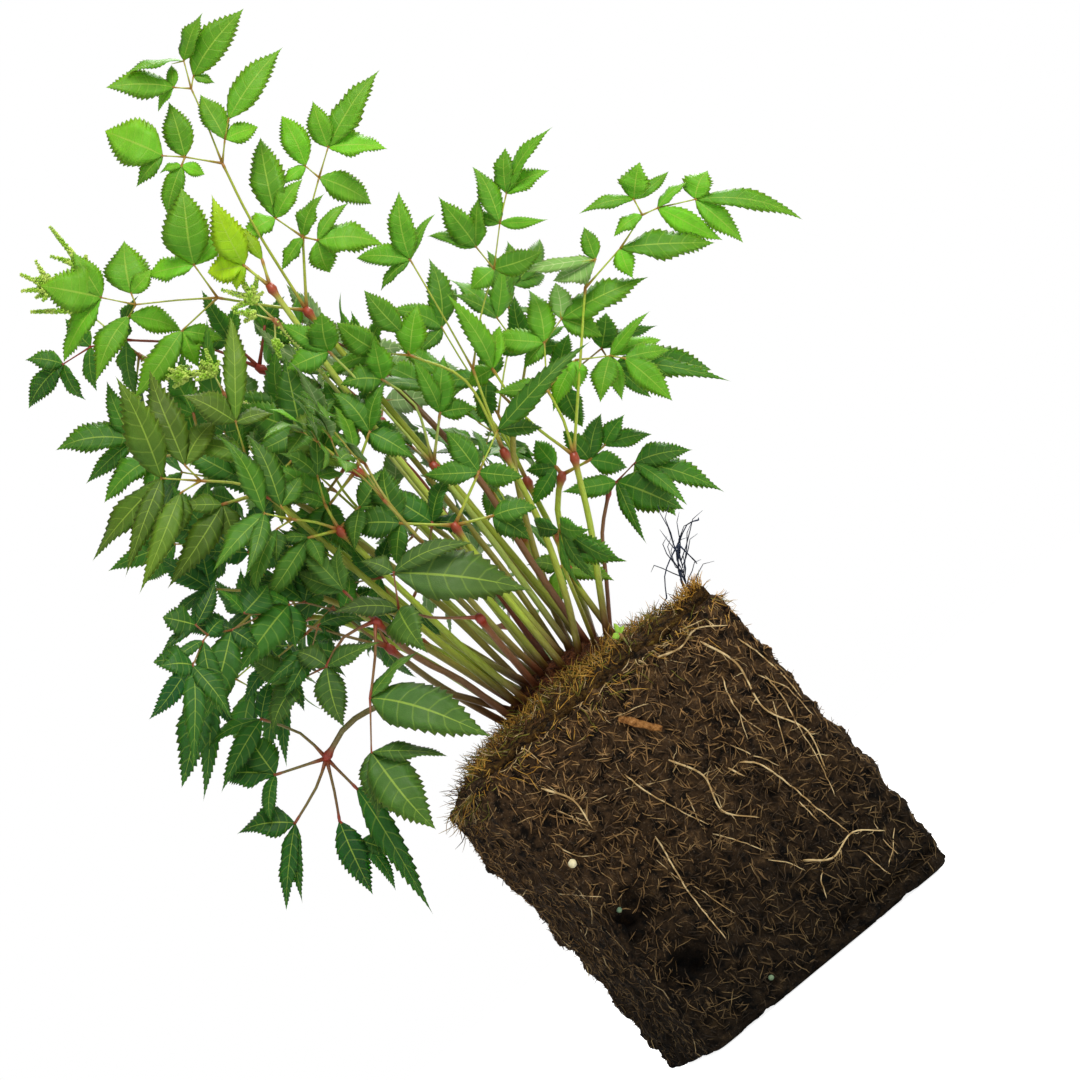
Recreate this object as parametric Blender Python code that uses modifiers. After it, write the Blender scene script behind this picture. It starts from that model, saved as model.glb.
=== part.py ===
# Astilbe plant lifted from its pot: square root ball, moss, crown, compound leaves and flower panicles.
# The plant stands upright on the flat underside of its root ball. +Z is up and -Y is the front.
# Layouts of leaves are written in centimetres, the way they are measured off; everything built is in metres.

import math
import random

import bmesh
import bpy
from mathutils import Matrix, Vector, noise
from mathutils.bvhtree import BVHTree

CM = 0.01
GAP = 0.0003

# Root ball: a 13 cm square block, turned a little from the front, that leans slightly to the left
BLOCK_SIDE = 0.130
BLOCK_HEIGHT = 0.149
BLOCK_TURN = math.radians(10)
BLOCK_LEAN = 0.005
BLOCK_BEVEL = 0.004

# Moss mat on top of the block, and the crown that stands through it
MOSS_EDGE = 0.003
MOSS_DOME = 0.010
CROWN_CENTRE = Vector((-0.006, 0.0, 0.0))
CROWN_RADII = Vector((0.034, 0.0255, 0.0185))
CROWN_RAISE = 0.003
CROWN_CLEARANCE = 0.0010

# Leaf stalks and blades
PETIOLE_RADIUS = 0.0016
THIN_RADIUS = 0.0010
TWIG_RADIUS = 0.0005
NODE_SWELL = 1.55
BLADE_THICKNESS = 0.0005
BLADE_WIDEST = 0.40
BLADE_ARCH = 0.07
BLADE_ROOM = 0.0008
STALK_ROOM = 0.0010

# How far leaflets and branches stand out of the plane of their leaf: a share of the leaflet, and centimetres
TIP_WANDER = 0.32
SPRAY_WANDER = 0.5
SPRAY_ROLL = 18


def spray(route, leaflets=(), sprays=()):
    """A stalk through (x, z) points, the leaflets at its end as (tip x, tip z, width), and further stalks."""
    return {"route": route, "leaflets": leaflets, "sprays": sprays}


# Each leaf: where its foot stands on the crown (x, y), the front view of its petiole up to the main node,
# how far back that node lies, how its blade leans back per centimetre to the right and up, and its sprays.
LEAVES = {
    "leaf_top": {
        "foot": (1.2, 0.1), "stem": [(1.2, 21.0), (1.1, 28.0), (0.95, 35.2)],
        "back": 0.4, "lean": (0.06, -0.03),
        "sprays": [
            spray([(1.5, 39.5), (2.12, 42.35)], [], [
                spray([(1.05, 43.6)], [(2.0, 46.0, 1.3)], [
                    spray([(0.35, 44.2)], [(-0.9, 46.6, 2.1), (-1.45, 43.95, 0.75)]),
                    spray([(0.7, 43.4)], [(-0.2, 43.85, 0.5), (-1.15, 42.2, 1.0), (1.25, 42.5, 0.6)])]),
                spray([(2.85, 43.05)], [(3.25, 45.4, 1.1), (4.3, 42.6, 0.9)], [
                    spray([(3.5, 43.6)], [(7.3, 44.7, 1.3)])]),
                spray([(2.75, 44.4), (3.1, 45.7)], [], [
                    spray([(2.55, 46.2)], [(0.3, 47.9, 1.3), (1.35, 45.9, 0.5), (3.1, 47.1, 0.5)]),
                    spray([(3.5, 46.1)], [(7.0, 46.95, 1.5), (4.05, 45.3, 0.5)]),
                    spray([(3.6, 46.85)], [(1.25, 47.45, 0.9), (5.5, 47.75, 1.2)])])]),
            spray([(2.8, 37.75)], [(1.2, 37.2, 0.8), (4.6, 38.75, 1.0)], [
                spray([(2.4, 39.15)], [(0.8, 39.4, 1.1), (4.3, 39.8, 0.9), (4.05, 42.5, 1.5)]),
                spray([(3.2, 37.2)], [(5.45, 35.4, 1.5), (2.7, 35.8, 1.2), (5.3, 37.7, 0.6)]),
                spray([(4.94, 39.3)], [(6.1, 37.05, 1.3)], [
                    spray([(4.8, 40.1)], [(5.35, 42.5, 1.2), (3.5, 40.1, 0.7)]),
                    spray([(6.05, 40.05)], [(6.75, 42.1, 1.1), (8.0, 38.4, 1.3), (9.9, 41.3, 1.3)])])]),
            spray([(-0.3, 36.5), (-1.65, 38.0)], [], [
                spray([(-1.55, 39.7)], [(0.2, 42.4, 2.0), (-3.5, 40.8, 1.2), (1.0, 40.2, 0.8)]),
                spray([(-3.7, 37.9)], [(-7.1, 37.0, 1.3), (-4.2, 36.2, 1.0), (-2.5, 36.6, 0.9)]),
                spray([(-3.0, 39.0), (-4.55, 40.0)], [], [
                    spray([(-4.4, 40.5)], [(-3.2, 42.6, 1.9), (-3.1, 40.6, 0.8)]),
                    spray([(-5.1, 39.85)], [(-3.7, 38.0, 1.1), (-7.9, 38.6, 1.3)]),
                    spray([(-5.5, 41.15)], [(-8.6, 40.3, 1.2), (-5.2, 43.4, 1.1), (-7.1, 43.1, 2.0)])])])],
    },
    "leaf_young": {
        "foot": (0.1, -0.7), "stem": [(0.0, 24.0), (0.1, 31.0), (0.4, 36.8)],
        "back": -1.2, "lean": (0.0, 0.0),
        "sprays": [
            spray([(0.1, 38.2)], [(0.9, 41.3, 1.4), (-1.3, 39.0, 1.3), (-0.9, 37.6, 0.8)]),
            spray([(0.85, 37.9)], [(1.0, 39.7, 0.6)])],
    },
    "leaf_far_left": {
        "foot": (-0.5, 0.7), "stem": [(-0.2, 22.0), (0.1, 27.0), (-0.6, 30.5), (-2.2, 34.8)], "back": 2.6,
        "lean": (-0.12, 0.0),
        "sprays": [
            spray([(-3.6, 37.2), (-5.9, 39.4)], [(-7.2, 37.0, 1.2), (-4.4, 40.6, 1.0)], [
                spray([(-7.3, 40.2)], [(-7.4, 41.9, 0.9), (-8.3, 38.5, 0.8)], [
                    spray([(-8.7, 40.4)], [(-11.2, 39.95, 1.0), (-9.9, 41.6, 0.9), (-9.1, 38.6, 0.8)])])]),
            spray([(-2.4, 36.4)], [(-3.5, 37.4, 0.8), (-1.2, 37.6, 0.8), (-2.0, 38.9, 0.9)]),
            spray([(-0.9, 36.0)], [(0.6, 36.5, 0.8), (-0.1, 34.6, 0.9), (-0.4, 37.7, 0.7)])],
    },
    "leaf_upper_left": {
        "foot": (-1.9, 0.3), "stem": [(-2.6, 22.3), (-4.3, 28.5), (-5.4, 31.3), (-6.3, 33.4)], "back": 1.2,
        "lean": (0.0, 0.05),
        "sprays": [
            spray([(-8.3, 35.65)], [(-11.05, 37.5, 1.5), (-7.6, 38.4, 0.9), (-11.15, 35.55, 0.8)]),
            spray([(-7.9, 34.4)], [(-10.8, 34.5, 1.3), (-9.6, 33.0, 0.9)]),
            spray([(-5.6, 34.9)], [(-5.3, 37.2, 1.1), (-3.8, 35.3, 0.9), (-7.0, 36.6, 0.9)])],
    },
    "leaf_olive": {
        "foot": (-2.6, -1.2), "stem": [(-3.6, 21.0), (-4.7, 27.3), (-5.2, 30.1)],
        "back": -2.6, "lean": (0.16, -0.05),
        "sprays": [
            spray([(-6.0, 31.2), (-7.0, 32.1)], [], [
                spray([(-7.95, 32.2)], [(-11.1, 30.4, 0.9), (-9.0, 31.1, 0.8)]),
                spray([(-7.1, 33.0)], [(-6.0, 36.5, 1.2), (-5.3, 33.6, 1.0)]),
                spray([(-8.2, 33.2)], [(-7.2, 36.9, 1.3), (-11.1, 31.4, 0.8), (-11.9, 32.6, 1.2)])]),
            spray([(-4.9, 31.7)], [(-6.3, 33.5, 1.0)], [
                spray([(-4.3, 33.1)], [(-5.1, 35.0, 1.1), (-2.0, 36.2, 0.8), (-3.0, 32.6, 0.8)])]),
            spray([(-6.9, 30.75)], [(-8.2, 31.7, 0.8), (-10.2, 29.7, 1.0), (-7.4, 29.2, 0.8)]),
            spray([(-3.4, 30.4)], [(-5.2, 28.9, 1.0), (-1.3, 31.2, 1.1), (-2.0, 29.2, 0.9)])],
    },
    "leaf_blue": {
        "foot": (-2.7, -0.1), "stem": [(-4.4, 21.5), (-6.2, 25.2), (-7.6, 26.6)],
        "back": -1.4, "lean": (0.18, 0.05),
        "sprays": [
            spray([(-9.6, 28.4)],
                  [(-10.3, 30.4, 0.9), (-11.4, 28.4, 0.6), (-8.8, 30.0, 0.7), (-11.0, 27.6, 0.7)]),
            spray([(-9.9, 26.4)], [(-11.2, 27.6, 0.9), (-9.4, 24.6, 1.0)], [
                spray([(-12.2, 26.4)], [(-13.1, 27.3, 1.0), (-14.5, 25.8, 0.7)], [
                    spray([(-12.0, 25.5)], [(-15.0, 23.1, 1.2), (-14.85, 22.3, 0.7), (-12.4, 23.6, 0.6)])])]),
            spray([(-7.4, 28.6)], [(-5.3, 29.9, 0.9), (-6.2, 27.2, 1.1), (-8.6, 29.6, 0.9)])],
    },
    "leaf_low_left": {
        "foot": (-3.0, -0.6), "stem": [(-5.2, 19.2), (-8.2, 20.2), (-10.2, 19.7)],
        "back": -3.4, "lean": (0.10, 0.12),
        "sprays": [
            spray([(-12.3, 20.5)], [(-13.7, 21.8, 1.2), (-12.2, 22.5, 1.1), (-13.4, 19.4, 0.6)]),
            spray([(-11.3, 19.0), (-12.9, 18.4)],
                  [(-14.6, 19.5, 1.3), (-15.0, 16.3, 0.7), (-14.4, 16.2, 0.5)]),
            spray([(-10.8, 18.4), (-11.4, 17.3)], [(-12.1, 14.6, 1.0)], [
                spray([(-11.2, 16.1)], [(-11.3, 14.0, 0.5), (-10.6, 15.2, 0.7)])]),
            spray([(-10.0, 17.9)], [(-10.65, 12.9, 0.9), (-9.2, 16.2, 0.8)]),
            spray([(-10.4, 21.2), (-11.3, 22.7)],
                  [(-13.9, 21.7, 0.8), (-13.8, 23.3, 0.6), (-10.3, 23.6, 0.7)])],
    },
    "leaf_front_left": {
        "foot": (-3.1, -1.25), "stem": [(-3.8, 18.7), (-4.6, 20.6), (-4.95, 22.8)],
        "back": -4.8, "lean": (0.05, 0.32),
        "sprays": [
            spray([(-5.9, 21.6), (-7.1, 20.4)], [(-4.1, 16.15, 2.4), (-4.3, 20.8, 1.0)], [
                spray([(-8.45, 18.6)], [(-8.3, 14.4, 2.0), (-6.0, 16.6, 1.1), (-9.9, 16.3, 1.2)])]),
            spray([(-6.4, 23.1), (-7.7, 22.6)], [(-5.3, 22.0, 1.0), (-8.8, 20.2, 1.3), (-8.3, 24.0, 1.1)], [
                spray([(-9.0, 22.9)], [(-11.3, 22.0, 1.3), (-10.0, 24.9, 1.2)])]),
            spray([(-5.2, 24.6)], [(-6.3, 26.6, 1.0), (-4.2, 26.4, 1.0), (-5.5, 27.5, 0.9)])],
    },
    "leaf_front_mid": {
        "foot": (-1.5, -1.7), "stem": [(-1.55, 18.6), (-1.5, 20.2)], "back": -4.2, "lean": (-0.02, 0.05),
        "sprays": [
            spray([(-3.1, 21.5), (-3.9, 22.6)], [(-4.2, 19.9, 1.7), (-5.9, 23.6, 1.0)], [
                spray([(-3.1, 23.9)], [(-3.75, 25.2, 0.9), (0.2, 23.0, 0.9), (1.1, 20.0, 2.4)])])],
    },
    "leaf_middle": {
        "foot": (-0.7, -1.0), "stem": [(-0.75, 20.5), (-1.1, 26.5), (-1.7, 28.4)],
        "back": -1.8, "lean": (0.0, 0.02),
        "sprays": [
            spray([(-3.4, 28.0)], [(-5.6, 27.6, 1.2), (-4.0, 26.2, 1.0), (-3.9, 30.0, 1.0)]),
            spray([(-2.4, 31.2)],
                  [(-3.6, 33.4, 1.1), (-1.2, 33.6, 1.2), (-4.2, 31.6, 0.9), (-0.6, 31.4, 1.0)]),
            spray([(-0.2, 29.3)], [(1.3, 30.2, 0.9), (0.5, 27.6, 1.0), (-0.2, 31.2, 1.0)])],
    },
    "leaf_low_middle": {
        "foot": (-0.1, -1.9), "stem": [(-0.1, 20.5), (0.1, 23.9)], "back": -3.0, "lean": (0.04, 0.05),
        "sprays": [
            spray([(-1.6, 25.4)], [(-3.1, 26.6, 1.1), (-0.9, 27.4, 1.2), (-2.6, 24.4, 0.9)]),
            spray([(2.3, 25.0)], [(2.3, 26.9, 0.9), (0.8, 26.2, 0.8), (3.4, 23.9, 0.8)], [
                spray([(4.0, 25.9)], [(8.3, 26.5, 0.8), (5.3, 25.0, 0.7)])]),
            spray([(1.6, 23.2)], [(3.0, 22.5, 0.9), (2.1, 21.7, 0.9)])],
    },
    "leaf_mid_right": {
        "foot": (0.8, -1.4), "stem": [(1.9, 18.8), (2.9, 21.6), (3.68, 25.1)],
        "back": -1.8, "lean": (-0.06, -0.02),
        "sprays": [
            spray([(4.3, 27.0), (4.85, 28.6)], [], [
                spray([(6.5, 30.1), (8.2, 31.3)], [(10.3, 30.6, 1.1), (6.9, 31.3, 1.0)], [
                    spray([(8.2, 32.5)], [(8.2, 35.1, 1.2), (7.0, 34.3, 0.8), (9.6, 34.1, 0.9)]),
                    spray([(9.6, 32.6)], [(10.4, 35.1, 1.0), (11.2, 31.4, 0.5), (8.9, 33.8, 0.6)], [
                        spray([(10.6, 33.4)], [(13.8, 34.4, 0.9), (11.7, 35.0, 1.0), (12.6, 33.0, 1.0)])])]),
                spray([(5.3, 31.2), (5.7, 33.8)],
                      [(7.1, 36.4, 1.2), (4.0, 35.5, 1.0), (7.7, 34.8, 0.5), (3.9, 33.6, 0.6)])]),
            spray([(4.3, 28.4), (3.15, 30.75)], [(4.7, 32.2, 1.3)], [
                spray([(2.3, 31.6)], [(-0.7, 32.9, 1.0), (1.6, 33.8, 1.2)]),
                spray([(3.5, 31.7)], [(3.4, 34.0, 1.1), (6.1, 33.9, 1.3)])])],
    },
    "leaf_centre": {
        "foot": (0.6, -0.3), "stem": [(0.9, 22.0), (1.0, 26.6)], "back": -0.7, "lean": (0.0, -0.2),
        "sprays": [
            spray([(2.0, 29.0), (1.6, 30.7)], [(0.1, 31.7, 1.3), (2.4, 32.2, 1.2)]),
            spray([(0.8, 31.0), (0.6, 33.0)], [(1.4, 34.4, 1.4), (-1.2, 33.6, 1.2), (-0.2, 35.2, 0.9)]),
            spray([(2.6, 28.1)], [(4.3, 29.9, 1.2), (3.9, 27.3, 0.9), (3.2, 30.3, 0.8)])],
    },
    "leaf_right": {
        "foot": (2.1, -0.5), "stem": [(3.3, 18.3), (4.6, 20.5), (5.86, 23.1)],
        "back": -1.6, "lean": (0.03, 0.0),
        "sprays": [
            spray([(8.0, 25.4), (10.7, 28.3)], [], [
                spray([(11.8, 28.95)], [(9.8, 29.4, 1.4), (12.3, 30.4, 0.8), (8.8, 30.6, 0.6)]),
                spray([(12.9, 28.65)], [(16.2, 26.35, 1.4), (12.5, 27.3, 0.9)], [
                    spray([(14.5, 29.15)], [(13.0, 29.3, 0.8)], [
                        spray([(14.65, 29.9)], [(15.7, 31.0, 1.4), (12.6, 31.0, 0.7), (16.6, 29.95, 0.5)]),
                        spray([(15.2, 29.0)], [(16.45, 26.15, 1.0), (16.9, 29.1, 0.6)], [
                            spray([(16.7, 28.3)],
                                  [(17.9, 29.1, 1.4), (17.2, 25.6, 1.0), (19.9, 25.05, 0.9)])])])])]),
            spray([(6.45, 24.5), (6.75, 26.0)], [(4.9, 27.3, 0.9)], [
                spray([(7.9, 27.6)], [(9.0, 29.9, 1.2), (6.1, 29.4, 1.1), (6.5, 27.4, 0.8)], [
                    spray([(9.1, 27.95)], [(13.15, 27.1, 1.5), (9.9, 29.3, 1.0), (10.0, 26.3, 1.1)])]),
                spray([(8.45, 26.2)], [(7.7, 25.1, 0.9), (6.3, 25.2, 0.9)], [
                    spray([(9.7, 25.4)],
                          [(12.2, 25.8, 0.7), (8.1, 24.2, 1.2), (12.0, 24.7, 0.8), (8.8, 23.6, 0.8)], [
                        spray([(10.1, 24.9)], [(10.5, 22.2, 1.1), (11.9, 24.0, 0.8)])])])]),
            spray([(5.3, 25.6), (5.5, 28.1)], [(6.0, 31.0, 1.0), (4.2, 28.6, 0.9), (6.9, 29.4, 0.9)])],
    },
    "leaf_low_right": {
        "foot": (2.15, 0.8), "stem": [(3.6, 18.2), (4.75, 19.9), (6.1, 21.1)], "back": 0.8, "lean": (0.0, 0.1),
        "sprays": [
            spray([(6.6, 21.2)], [(5.95, 18.9, 0.5), (7.8, 18.95, 1.4), (4.9, 22.2, 0.8)], [
                spray([(7.7, 21.35)],
                      [(7.6, 19.0, 1.1), (9.6, 20.45, 0.9), (9.6, 18.6, 1.0), (8.2, 18.8, 0.6)])])],
    },
    "leaf_low_right_back": {
        "foot": (1.6, 0.6), "stem": [(2.7, 19.4), (3.9, 21.9), (5.0, 22.95)],
        "back": 1.8, "lean": (0.06, 0.1),
        "sprays": [
            spray([(5.0, 23.4)], [(3.85, 24.2, 0.7), (5.0, 24.9, 1.0), (3.1, 22.5, 0.8)]),
            spray([(6.3, 22.7)], [(7.4, 21.4, 1.0), (8.0, 24.0, 0.9), (6.2, 24.4, 0.9)], [
                spray([(7.2, 22.8)], [(9.1, 21.95, 0.9), (8.7, 23.3, 0.8)])])],
    },
    "leaf_low_front": {
        "foot": (2.35, 0.05), "stem": [(2.5, 18.6), (2.7, 19.7)], "back": 0.3, "lean": (0.1, 0.1),
        "sprays": [
            spray([(3.4, 20.3)], [(4.3, 20.7, 0.6), (4.1, 19.3, 0.7)]),
            spray([(2.4, 19.9)], [(3.9, 18.0, 1.0), (1.4, 18.6, 0.8), (1.5, 20.9, 0.8)])],
    },
}

# Leaves at the back and sides: the habit of a front leaf, turned about its foot (degrees) and sized
BACK_LEAVES = {
    "leaf_side_right": {"like": "leaf_mid_right", "foot": (1.55, 1.15), "turn": 40, "size": 0.86},
    "leaf_back_right": {"like": "leaf_right", "foot": (0.6, 1.5), "turn": 78, "size": 0.80},
    "leaf_back_low": {"like": "leaf_low_left", "foot": (-0.5, 1.75), "turn": -108, "size": 0.95},
    "leaf_back_left": {"like": "leaf_right", "foot": (-2.0, 1.6), "turn": -52, "size": 0.72, "mirror": True},
    "leaf_back_tall": {"like": "leaf_olive", "foot": (0.1, 1.3), "turn": -124, "size": 0.96},
    "leaf_side_left": {"like": "leaf_blue", "foot": (-3.1, 0.7), "turn": -32, "size": 0.90},
    "leaf_back_high": {"like": "leaf_mid_right", "foot": (-1.2, 1.5), "turn": 124, "size": 1.00},
    "leaf_front_low": {"like": "leaf_low_right", "foot": (1.5, -1.25), "turn": -62, "size": 0.90},
    "leaf_inner_left": {"like": "leaf_mid_right", "foot": (-1.7, -0.5), "turn": -18, "size": 0.84, "mirror": True},
    "leaf_front_dark": {"like": "leaf_right", "foot": (-3.5, 0.0), "turn": 40, "size": 0.81, "mirror": True},
    "leaf_front_high": {"like": "leaf_olive", "foot": (-2.2, -1.6), "turn": 18, "size": 0.77},
    "leaf_inner_low": {"like": "leaf_low_middle", "foot": (-1.5, -1.1), "turn": -18, "size": 0.87, "mirror": True},
    "leaf_inner_mid": {"like": "leaf_middle", "foot": (-0.7, 1.3), "turn": -14, "size": 1.06},
    "leaf_inner_top": {"like": "leaf_far_left", "foot": (1.3, -0.6), "turn": -54, "size": 0.82},
    "leaf_inner_right": {"like": "leaf_blue", "foot": (0.5, 0.9), "turn": 12, "size": 0.94, "mirror": True},
    "leaf_upper_inner": {"like": "leaf_olive", "foot": (-2.6, 1.2), "turn": -54, "size": 1.03},
    "leaf_left_low": {"like": "leaf_blue", "foot": (-1.8, 1.1), "turn": -12, "size": 0.80},
    "leaf_front_centre": {"like": "leaf_mid_right", "foot": (-1.0, -1.4), "turn": 74, "size": 0.81, "mirror": True},
    "leaf_back_inner": {"like": "leaf_blue", "foot": (0.2, 1.85), "turn": 120, "size": 0.91, "mirror": True},
    "leaf_back_mid": {"like": "leaf_blue", "foot": (1.1, 1.1), "turn": 106, "size": 1.00, "mirror": True},
}

# Flower panicles: foot, front view of the stalk, how far back its top stands, and side branches up the stalk
PANICLES = {
    "panicle_left": {
        "foot": (-1.3, 0.9), "stem": [(-3.4, 26.0), (-5.0, 34.0), (-5.9, 38.6)],
        "back": 3.6, "lean": (0.0, 0.0),
        "branches": [
            spray([(-7.1, 37.4)], [(-7.6, 36.8, 0.35)]),
            spray([(-4.9, 37.0)], [(-4.6, 36.3, 0.35)]),
            spray([(-6.5, 41.6)], [(-8.4, 43.1, 0.35), (-5.0, 42.9, 0.35)], [
                spray([(-7.0, 43.2)], [(-8.1, 43.9, 0.35), (-6.8, 44.6, 0.35), (-7.7, 44.6, 0.4)]),
                spray([(-5.4, 43.2)], [(-5.4, 45.4, 0.4), (-6.2, 44.4, 0.35)])])],
    },
    "panicle_middle": {
        "foot": (-0.2, 0.0), "stem": [(-0.2, 24.0), (-0.2, 32.0), (-0.35, 35.6)],
        "back": -0.8, "lean": (0.0, 0.0),
        "branches": [
            spray([(-0.5, 36.9)], [(-1.3, 38.1, 0.45), (-0.3, 38.0, 0.35), (0.3, 37.6, 0.3)]),
            spray([(-0.9, 36.4)], [(-1.5, 37.0, 0.35)]),
            spray([(-0.9, 34.9)], [(-1.2, 34.2, 0.3)])],
    },
    "panicle_low": {
        "foot": (-0.9, 0.1), "stem": [(-1.0, 24.0), (-2.4, 31.0), (-4.0, 34.6)],
        "back": -0.2, "lean": (0.0, 0.0),
        "branches": [
            spray([(-3.8, 35.6)], [(-4.9, 36.5, 0.45), (-3.4, 36.6, 0.35)], [
                spray([(-4.9, 36.2)], [(-5.7, 37.2, 0.4), (-5.2, 37.4, 0.3)])])],
    },
}

# Small growth of other kinds, laid out the same way: thin wiry dead roots, and a seedling at the front edge
TRIMMINGS = {
    "dry_root_tuft": {
        "foot": (5.8, -2.2), "stem": [(6.2, 16.5), (6.9, 17.4)], "back": -2.2, "lean": (0.0, 0.0),
        "branches": [
            spray([(7.7, 17.8), (8.2, 17.65)], [(8.5, 18.0, 0.08)]),
            spray([(6.2, 17.1), (5.6, 16.7), (5.1, 15.95)], [(4.5, 15.75, 0.08)]),
            spray([(7.0, 16.4)], [(6.95, 15.7, 0.08)])],
    },
    "seedling": {
        "foot": (2.6, -5.4), "stem": [(2.65, 15.85)], "back": -5.9, "lean": (0.0, 0.0),
        "branches": [spray([(2.6, 15.95)], [(2.25, 16.0, 0.28), (3.0, 16.1, 0.25), (2.7, 16.45, 0.2)])],
    },
}

# Loose roots on the faces of the block, as (x, z) on the front and (y, z) on the right side
ROOT_RADIUS = 0.0005
FRONT_ROOTS = {
    "root_front_long": [(5.0, 13.6), (5.6, 11.9), (5.3, 9.8), (6.1, 8.0), (5.7, 6.2)],
    "root_front_middle": [(0.9, 10.6), (1.6, 9.2), (1.3, 7.6), (2.3, 6.4)],
    "root_front_top": [(3.2, 14.2), (4.2, 13.9), (5.2, 14.1), (6.3, 13.4)],
    "root_front_left": [(-3.9, 13.0), (-3.2, 11.8), (-3.3, 10.4)],
    "root_front_low": [(2.6, 3.9), (3.6, 3.2), (4.9, 3.5), (6.0, 2.7)],
}
SIDE_ROOTS = {
    "root_side": [(-3.6, 12.6), (-2.2, 11.0), (-2.6, 8.8), (-1.2, 7.0)],
}

# Things in the peat, as (x, z) on the front face
CHIP_AT, CHIP_SIZE, CHIP_TURN = (0.90, 12.5), (0.019, 0.002, 0.005), math.radians(52)
BEADS = {
    "cream_bead": ((-4.9, 9.8), 0.0019),
    "prill_upper": ((-4.6, 7.1), 0.0012),
    "prill_lower": ((-1.5, 1.0), 0.0012),
}

COLOURS = {
    "leaf": (0.10, 0.27, 0.03), "lime": (0.30, 0.55, 0.02), "flower": (0.45, 0.60, 0.18),
    "peat": (0.020, 0.013, 0.008), "moss": (0.13, 0.09, 0.02), "crown": (0.09, 0.035, 0.015),
    "root": (0.55, 0.38, 0.20), "wire": (0.03, 0.035, 0.045), "chip": (0.40, 0.17, 0.06),
    "cream": (0.75, 0.68, 0.45), "prill": (0.10, 0.16, 0.10),
}


def make_material(name, roughness):
    """A plain matt finish in one of the named colours."""
    if name in bpy.data.materials:
        return bpy.data.materials[name]
    made = bpy.data.materials.new(name)
    made.use_nodes = True
    shader = made.node_tree.nodes["Principled BSDF"]
    shader.inputs["Base Color"].default_value = (*COLOURS[name], 1.0)
    shader.inputs["Roughness"].default_value = roughness
    shader.inputs["Metallic"].default_value = 0.0
    return made


def add_object(name, bm, finish, group):
    """Turns a bmesh into a named object of the plant."""
    bmesh.ops.recalc_face_normals(bm, faces=bm.faces)
    mesh = bpy.data.meshes.new(name)
    bm.to_mesh(mesh)
    bm.free()
    mesh.materials.append(make_material(finish, 0.8))
    made = bpy.data.objects.new(name, mesh)
    group.objects.link(made)
    return made


def surface_of(made):
    """The evaluated surface of an object, for finding points on it."""
    bpy.context.view_layer.update()
    return BVHTree.FromObject(made, bpy.context.evaluated_depsgraph_get())


def lumps(point, scale, amount):
    """Smooth lumps: how far a point of an earthy surface moves."""
    place = point / scale
    shifts = (Vector((0, 0, 0)), Vector((7.3, -2.6, 4.4)), Vector((-3.8, 5.1, 9.7)))
    return Vector([noise.noise(place + shift) for shift in shifts]) * amount


def make_block(group):
    """The root ball: a square block with a slight lean, a flat underside and soft edges."""
    bm = bmesh.new()
    bmesh.ops.create_cube(bm, size=1.0)
    bmesh.ops.scale(bm, vec=(BLOCK_SIDE, BLOCK_SIDE, BLOCK_HEIGHT), verts=bm.verts)
    turn = Matrix.Rotation(BLOCK_TURN, 3, "Z")
    for vert in bm.verts:
        vert.co.z += BLOCK_HEIGHT / 2
        vert.co.x -= BLOCK_LEAN * vert.co.z / BLOCK_HEIGHT
        vert.co = turn @ vert.co
    block = add_object("root_ball", bm, "peat", group)
    bevel = block.modifiers.new("soft edges", "BEVEL")
    bevel.width = BLOCK_BEVEL
    bevel.segments = 1
    bevel.limit_method = "ANGLE"
    bevel.angle_limit = math.radians(50)
    return block


def make_crown(group, name="crown", grown=0.0, cut_flat=True):
    """The woody crown: a lumpy low dome with a flat base. A grown, uncut copy is its clearance in the moss."""
    bm = bmesh.new()
    bmesh.ops.create_icosphere(bm, subdivisions=3, radius=1.0)
    floor = BLOCK_HEIGHT + GAP
    for vert in bm.verts:
        out = vert.co.copy()
        vert.co = Matrix.Diagonal(CROWN_RADII) @ out + CROWN_CENTRE
        vert.co.z += floor + CROWN_RAISE
        vert.co += lumps(vert.co, 0.012, 0.0012) + out * grown
    if cut_flat:
        whole = bm.verts[:] + bm.edges[:] + bm.faces[:]
        level = Vector((0, 0, floor))
        cut = bmesh.ops.bisect_plane(bm, geom=whole, plane_co=level, plane_no=(0, 0, -1), clear_outer=True)
        rim = [edge for edge in cut["geom_cut"] if isinstance(edge, bmesh.types.BMEdge)]
        bmesh.ops.contextual_create(bm, geom=rim)
    return add_object(name, bm, "crown", group)


def make_moss(group, cutters):
    """The moss mat: a low dome over the whole top of the block, with a hole where the crown comes through."""
    bm = bmesh.new()
    floor = BLOCK_HEIGHT + GAP
    bmesh.ops.create_grid(bm, x_segments=8, y_segments=8, size=BLOCK_SIDE / 2 - BLOCK_BEVEL)
    raised = bmesh.ops.extrude_face_region(bm, geom=bm.faces[:])["geom"]
    top = {element for element in raised if isinstance(element, bmesh.types.BMVert)}
    turn = Matrix.Rotation(BLOCK_TURN, 3, "Z")
    for vert in bm.verts:
        vert.co = turn @ (vert.co - Vector((BLOCK_LEAN, 0, 0)))
        vert.co.z = floor
        if vert in top:
            away = (vert.co.xy - CROWN_CENTRE.xy).length / 0.045
            vert.co.z += MOSS_EDGE + MOSS_DOME * math.exp(-away * away) + 0.0012 * noise.noise(vert.co / 0.02)
    bmesh.ops.triangulate(bm, faces=bm.faces)
    moss = add_object("moss_mat", bm, "moss", group)
    hole = make_crown(cutters, "crown_clearance", grown=CROWN_CLEARANCE, cut_flat=False)
    hole.hide_render = True
    hole.display_type = "WIRE"
    cut = moss.modifiers.new("hole for the crown", "BOOLEAN")
    cut.operation = "DIFFERENCE"
    cut.object = hole
    return moss


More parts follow.
